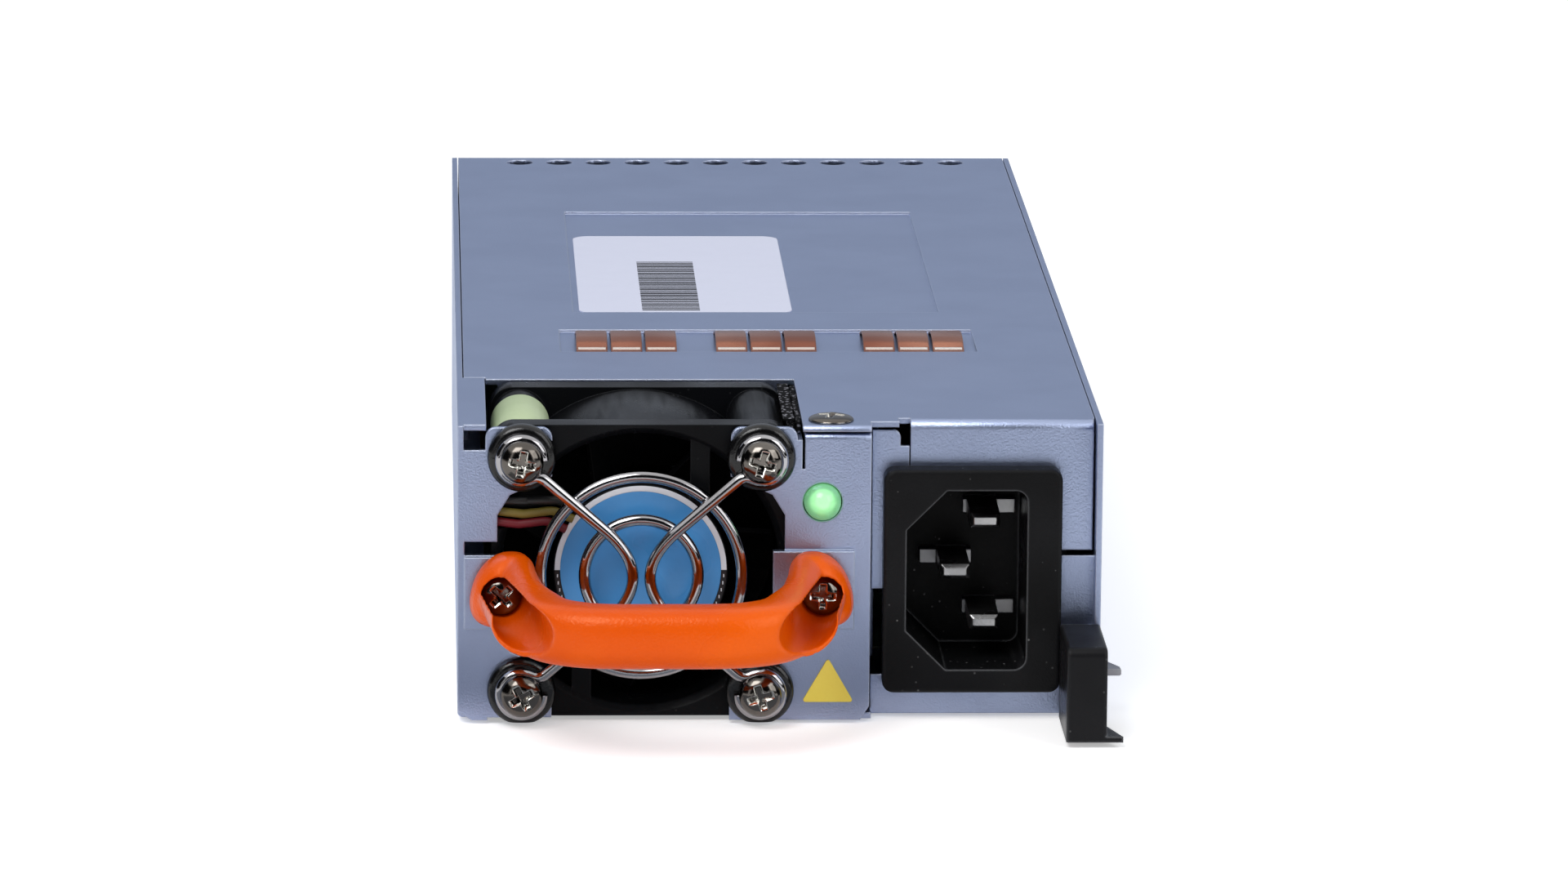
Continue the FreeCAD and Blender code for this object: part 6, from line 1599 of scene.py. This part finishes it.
# ---- lamp, inlet and lever
@dataclass
class StatusLamp(SubAssembly):
    """Green lamp with its die inside, and its holder.

    Attributes:
        dome: diameter of the dome.
        rim: thickness of the rim at the lamp's rear.
        die: distances along the die and its radii.
        die_back: how far the die stands behind the dome's middle.
    """

    looks: tuple = ((RUBBER, 0.0, "lamp_holder"),)
    dome: float = 5.0
    rim: float = 1.0
    die: tuple = ((0.0, 0.9), (0.3, 1.1), (0.8, 0.7), (0.9, 0.0))
    die_back: float = 0.6

    def make(self) -> None:
        """Makes the lamp."""
        low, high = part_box("status_lamp")
        heart = Vector(((low.x + high.x) / 2, high.y, (low.z + high.z) / 2))
        flange, radius = (high.x - low.x) / 2 / MM, self.dome / 2
        straight = (high.y - low.y) / MM - radius
        profile = [(0.0, flange), (self.rim, flange), (self.rim, radius), (straight, radius)]
        profile += [(straight + radius * math.sin(angle), radius * math.cos(angle))
                    for angle in quarter(12)[1:]]
        ahead = Vector((0, -1, 0))
        solid = Builder()
        solid.lathe(profile, heart, ahead)
        place(solid.object("lamp_dome"), LAMP_GREEN, "lamp_green", "status_lamp")
        die = Builder()
        die.lathe(self.die, heart + ahead * (straight - self.die_back) * MM, ahead, 24)
        place(die.object("lamp_die"), LAMP_DIE, "lamp_green")


@dataclass
class MainsInlet(SubAssembly):
    """Inlet housing with its three blades."""

    looks: tuple = ((INLET_PLASTIC, 0.35, "inlet_housing"),
                    (BRASS, 0.15, "line_contact", "neutral_contact", "earth_contact"))


@dataclass
class ReleaseLever(SubAssembly):
    """Spring leaf with its tooth, and the finger cap."""

    looks: tuple = ((SPRING_STEEL, 0.1, "latch_leaf", "latch_anchor"),
                    (CAP_PLASTIC, 0.25, "lever_cap"), (SHAFT_STEEL, 0.1, "latch_rivets"))


# ---- what lies on the cover
@dataclass
class CoverTrim(SubAssembly):
    """Earthing fingers, labels and the cover screw.

    Attributes:
        count: fingers in a strip.
        pitch: distance between them.
        width: width of a finger.
        sheet: thickness of the strip.
        edge: width of the chamfer along a finger's sides.
        arch: height of a finger along its length, both as shares.
        tip: start and end of the band of painted highlight on a finger's front slope, as shares of
            its length.
        skin: top and bottom of that band over the finger's top.
        bars: printed bars on the label.
        bars_side: left and right end of the bars, from the left side.
        bars_start: start of the first one behind the front plane.
        bar_widths: widths of the bars.
        bar_gaps: gaps between them.
        ink: thickness of the print.
        screw: the cover screw.
    """

    looks: tuple = ((LABEL_WHITE, 0.0, "rating_label"), (YELLOW, 0.0, "triangle_sticker"))
    count: int = 3
    pitch: float = 4.82
    width: float = 4.35
    sheet: float = 0.2
    edge: float = 0.25
    arch: tuple = ((0.0, 0.0), (0.07, 0.0), (0.14, 0.25), (0.24, 0.68), (0.36, 0.93),
                   (0.5, 1.0), (0.64, 0.93), (0.76, 0.68), (0.86, 0.25), (0.93, 0.0),
                   (1.0, 0.0))
    tip: Pair = (0.08, 0.15)
    skin: Pair = (0.012, -0.03)
    bars: int = 30
    bars_side: Pair = (26.6, 34.8)
    bars_start: float = 79.4
    bar_widths: tuple = (0.5, 0.8, 1.15)
    bar_gaps: tuple = (0.3, 0.45)
    ink: float = 0.01
    screw: CrossScrew = field(default_factory=lambda: CrossScrew(6.1, 0.8, 3.0, 5.4, 1.1,
                                                                 Facing.UP))

    def make(self) -> None:
        """Makes the fingers, the bars and the screw."""
        for side in ("left", "middle", "right"):
            self._fingers(f"ground_fingers_{side}")
        self._bars()
        seat = centre("cover_screw")
        seat.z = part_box("cover_screw")[1].z - self.screw.rise * MM
        self.screw.set_in("cover_cross_screw", [seat], 3, "screw_steel", "cover_screw")

    def _fingers(self, node: str) -> None:
        """One strip of arched fingers, each with a band of painted highlight on its front slope.

        Args:
            node: the frame node that the strip stands for.
        """
        low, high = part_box(node)
        length, inner = high.y - low.y, high.z - low.z - self.sheet * MM
        line = [(share * length, level * inner) for share, level in self._fine()]
        half = self.width / 2 * MM
        flat, drop = half - self.edge * MM, self.sheet * MM - self.edge * MM * 0.5
        places = [Vector((low.x + half + k * self.pitch * MM, low.y, low.z))
                  for k in range(self.count)]
        arch = ((-half, drop), (-flat, self.sheet * MM), (flat, self.sheet * MM), (half, drop),
                (half, 0.0), (-half, 0.0))
        start, end = (share * length for share in self.tip)
        slope = [(y, z) for y, z in line if start < y < end]
        top, bottom = ((self.sheet + lift) * MM for lift in self.skin)
        band = ((-flat, top), (flat, top), (flat, bottom), (-flat, bottom))
        for name, section, path, finish, nodes in (
                ("arches", arch, line, COPPER, (node,)),
                ("tips", band, slope, FINGER_HIGHLIGHT, ())):
            solid = Builder()
            solid.bar([[Vector((across, y, z + lift)) for y, z in path]
                       for across, lift in section])
            made = copies(f"{node}_{name}", solid.object("finger", 50.0), places, finish)
            place(made, None, "finger_copper", *nodes)

    def _fine(self) -> list[Pair]:
        """The arch's line with two more points between its corners.

        Returns:
            Places along a finger and heights there, both as shares.
        """
        line = [self.arch[0]]
        for (along, level), (after, rise) in zip(self.arch, self.arch[1:]):
            line += [(along + (after - along) * share, level + (rise - level) * share)
                     for share in (1 / 3, 2 / 3, 1.0)]
        return line

    def _bars(self) -> None:
        """Generic bars printed on the label."""
        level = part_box("rating_label")[1].z
        chance = random.Random(11)
        solid = Builder()
        left, right = (DATUM.at(side, 0, 0).x for side in self.bars_side)
        along = DATUM.at(0, self.bars_start, 0).y
        for _ in range(self.bars):
            thick = chance.choice(self.bar_widths) * MM
            solid.block(Vector((left, along, level)),
                        Vector((right, along + thick, level + self.ink * MM)))
            along += thick + chance.choice(self.bar_gaps) * MM
        place(solid.object("label_bars"), BAR_INK, "label_white")


# ---- inside and rear
@dataclass
class Inside(SubAssembly):
    """Boards, power parts and the rear contacts."""

    looks: tuple = (
        (PCB, 0.0, "main_board", "control_board", "contact_tongue"),
        (FILM, 0.0, "insulating_sheet"), (GOLD, 0.0, "contact_pads"), (BRASS, 0.0, "standoffs"),
        (SHAFT_STEEL, 0.0, "board_screws"), (FUSE, 0.0, "mains_fuse"),
        (FILM_BOX, 0.0, "line_capacitor"), (CHOKE_WIRE, 0.0, "filter_choke", "boost_choke"),
        (CAN_SLEEVE, 0.0, "bulk_capacitor", "output_capacitors"),
        (FERRITE, 0.0, "transformer_core"), (WINDING, 0.0, "transformer_winding"),
        (ALUMINIUM, 0.0, "primary_heatsink", "output_heatsink"),
        (TRANSISTOR, 0.0, "power_transistors"), (LEAD_BLACK, 0.0, "mains_leads"))


# ---- studio
WHITE = (1.0, 1.0, 1.0)


@dataclass
class Studio:
    """Camera, floor and lights.

    Attributes:
        position: the camera's position in metres.
        yaw: turn to the right in radians.
        pitch: tilt down.
        roll: tilt to the side.
        lens: focal length on a 36 mm wide sensor.
        reach: half the floor's width in metres.
        gap: how far it lies under the object in metres.
        grey: the floor's colour.
        glow: light that the floor gives to reflections and to the camera.
        soft: strength of the light from all round.
        lights: name, place, size in metres and power in watts of each light.
        cards: name, two corners and colour of each card.
    """

    position: Triple = (-0.048465, -1.25221, 0.28849)
    yaw: float = 0.0423
    pitch: float = 0.2134
    roll: float = 0.0086
    lens: float = 203.07
    reach: float = 6.0
    gap: float = 0.0005
    grey: Colour = (0.93, 0.93, 0.93)
    glow: Pair = (0.12, 0.4)
    soft: float = 0.55
    lights: tuple = (("key", (-0.5, -0.9, 1.2), 0.8, 12.0), ("fill", (0.9, -0.7, 0.6), 0.8, 4.0))
    cards: tuple = (
        ("card_left", (-1.3, -1.4, 0.05), (-1.25, 0.7, 1.0), (0.012, 0.012, 0.014)),
        ("card_right", (1.25, -1.4, 0.05), (1.3, 0.0, 1.0), (0.012, 0.012, 0.014)),
        ("card_back_low", (-1.6, 0.75, 0.01), (1.6, 0.8, 0.2), (0.29, 0.32, 0.38)),
        ("card_back_high", (-1.6, 0.75, 0.2), (1.6, 0.8, 0.9), (0.46, 0.495, 0.56)),
        # Grey card just in front of the case, seen only in reflections: painted shade standing in
        # for the case's own shadow in what its lower front reflects.
        ("card_near", (-0.07, -0.14, 0.0004), (0.03, -0.105, 0.0009), (0.3, 0.32, 0.36)),
        ("card_front", (-1.2, -1.95, 0.02), (1.2, -1.9, 2.2), (0.012, 0.012, 0.014)),
        ("card_floor", (-0.9, -1.3, 0.0005), (0.9, -0.36, 0.001), (0.03, 0.03, 0.035)))

    def build(self) -> None:
        """Sets up the studio."""
        self._camera()
        self._floor()
        self._world()
        self._cards()
        self._lights()
        bpy.context.scene.view_settings.view_transform = "Standard"

    def _camera(self) -> None:
        """Camera at the chosen angle."""
        data = bpy.data.cameras.new("camera")
        data.lens, data.sensor_width = self.lens, 36.0
        data.clip_start, data.clip_end = 0.1, 20.0
        camera = linked("camera", data)
        ahead = Vector((math.sin(self.yaw) * math.cos(self.pitch),
                        math.cos(self.yaw) * math.cos(self.pitch), -math.sin(self.pitch)))
        aside = Vector((math.cos(self.yaw), -math.sin(self.yaw), 0.0))
        above = aside.cross(ahead)
        right = aside * math.cos(self.roll) + above * math.sin(self.roll)
        upward = above * math.cos(self.roll) - aside * math.sin(self.roll)
        turn = Matrix((right, upward, -ahead)).transposed()
        camera.matrix_world = Matrix.Translation(self.position) @ turn.to_4x4()
        bpy.context.scene.camera = camera

    def _floor(self) -> None:
        """Pale floor under the case."""
        reach, level = self.reach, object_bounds()[0].z - self.gap
        floor = Builder()
        floor.mesh.faces.new(floor.ring([Vector((x * reach, y * reach, level))
                                         for x, y in SQUARE]))
        paint, graph = new_material("Studio floor")
        matte = graph.add("ShaderNodeBsdfDiffuse", {"Color": self.grey})
        seen = graph.add("ShaderNodeLightPath").outputs["Is Camera Ray"]
        bright = graph.add("ShaderNodeEmission", {
            "Color": WHITE, "Strength": graph.between(seen, 0.0, 1.0, *self.glow)})
        both = graph.add("ShaderNodeAddShader", {0: matte.outputs[0], 1: bright.outputs[0]})
        graph.add("ShaderNodeOutputMaterial", {"Surface": both.outputs[0]})
        made = floor.object("studio_floor")
        dress(made, paint)
        made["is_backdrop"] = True

    def _world(self) -> None:
        """White backdrop with soft light from all round."""
        world = bpy.data.worlds.new("studio")
        world.use_nodes = True
        bpy.context.scene.world = world
        graph = Graph(world.node_tree)
        path = graph.add("ShaderNodeLightPath").outputs
        seen = graph.math("MAXIMUM", path["Is Camera Ray"],
                          graph.math("MAXIMUM", path["Is Glossy Ray"],
                                     path["Is Transmission Ray"]))
        soft = graph.add("ShaderNodeBackground", {"Color": (0.95, 0.97, 1.0),
                                                  "Strength": self.soft})
        white = graph.add("ShaderNodeBackground", {"Color": WHITE, "Strength": 1.0})
        mixed = graph.add("ShaderNodeMixShader", {0: seen, 1: soft.outputs[0],
                                                  2: white.outputs[0]})
        graph.add("ShaderNodeOutputWorld", {"Surface": mixed.outputs[0]})

    def _cards(self) -> None:
        """Cards that only reflections show, so that metal and gloss have contrast."""
        for name, low, high, colour in self.cards:
            paint, graph = new_material(name)
            even = graph.add("ShaderNodeEmission", {"Color": colour, "Strength": 1.0})
            graph.add("ShaderNodeOutputMaterial", {"Surface": even.outputs[0]})
            card = Builder()
            card.block(Vector(low), Vector(high))
            made = card.object(name)
            dress(made, paint)
            made.visible_camera = made.visible_diffuse = made.visible_shadow = False
            made.visible_transmission = False
            made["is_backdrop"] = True

    def _lights(self) -> None:
        """Large soft light above the front left, and a weaker one from the right."""
        for name, spot, size, power in self.lights:
            data = bpy.data.lights.new(name, "AREA")
            data.size, data.energy = size, power
            lamp = linked(name, data)
            lamp.location = spot
            lamp.rotation_euler = (-Vector(spot)).to_track_quat("-Z", "Y").to_euler()


def main() -> None:
    """Builds every sub-assembly in order."""
    logging.basicConfig(level=logging.INFO, format="%(message)s")
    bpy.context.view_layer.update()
    for part in (Case(), FanUnit(), PullHandle(), StatusLamp(), MainsInlet(), ReleaseLever(),
                 CoverTrim(), Inside(), Studio()):
        LOG.info("building %s", type(part).__name__)
        part.build()


if __name__ == "__main__":
    main()
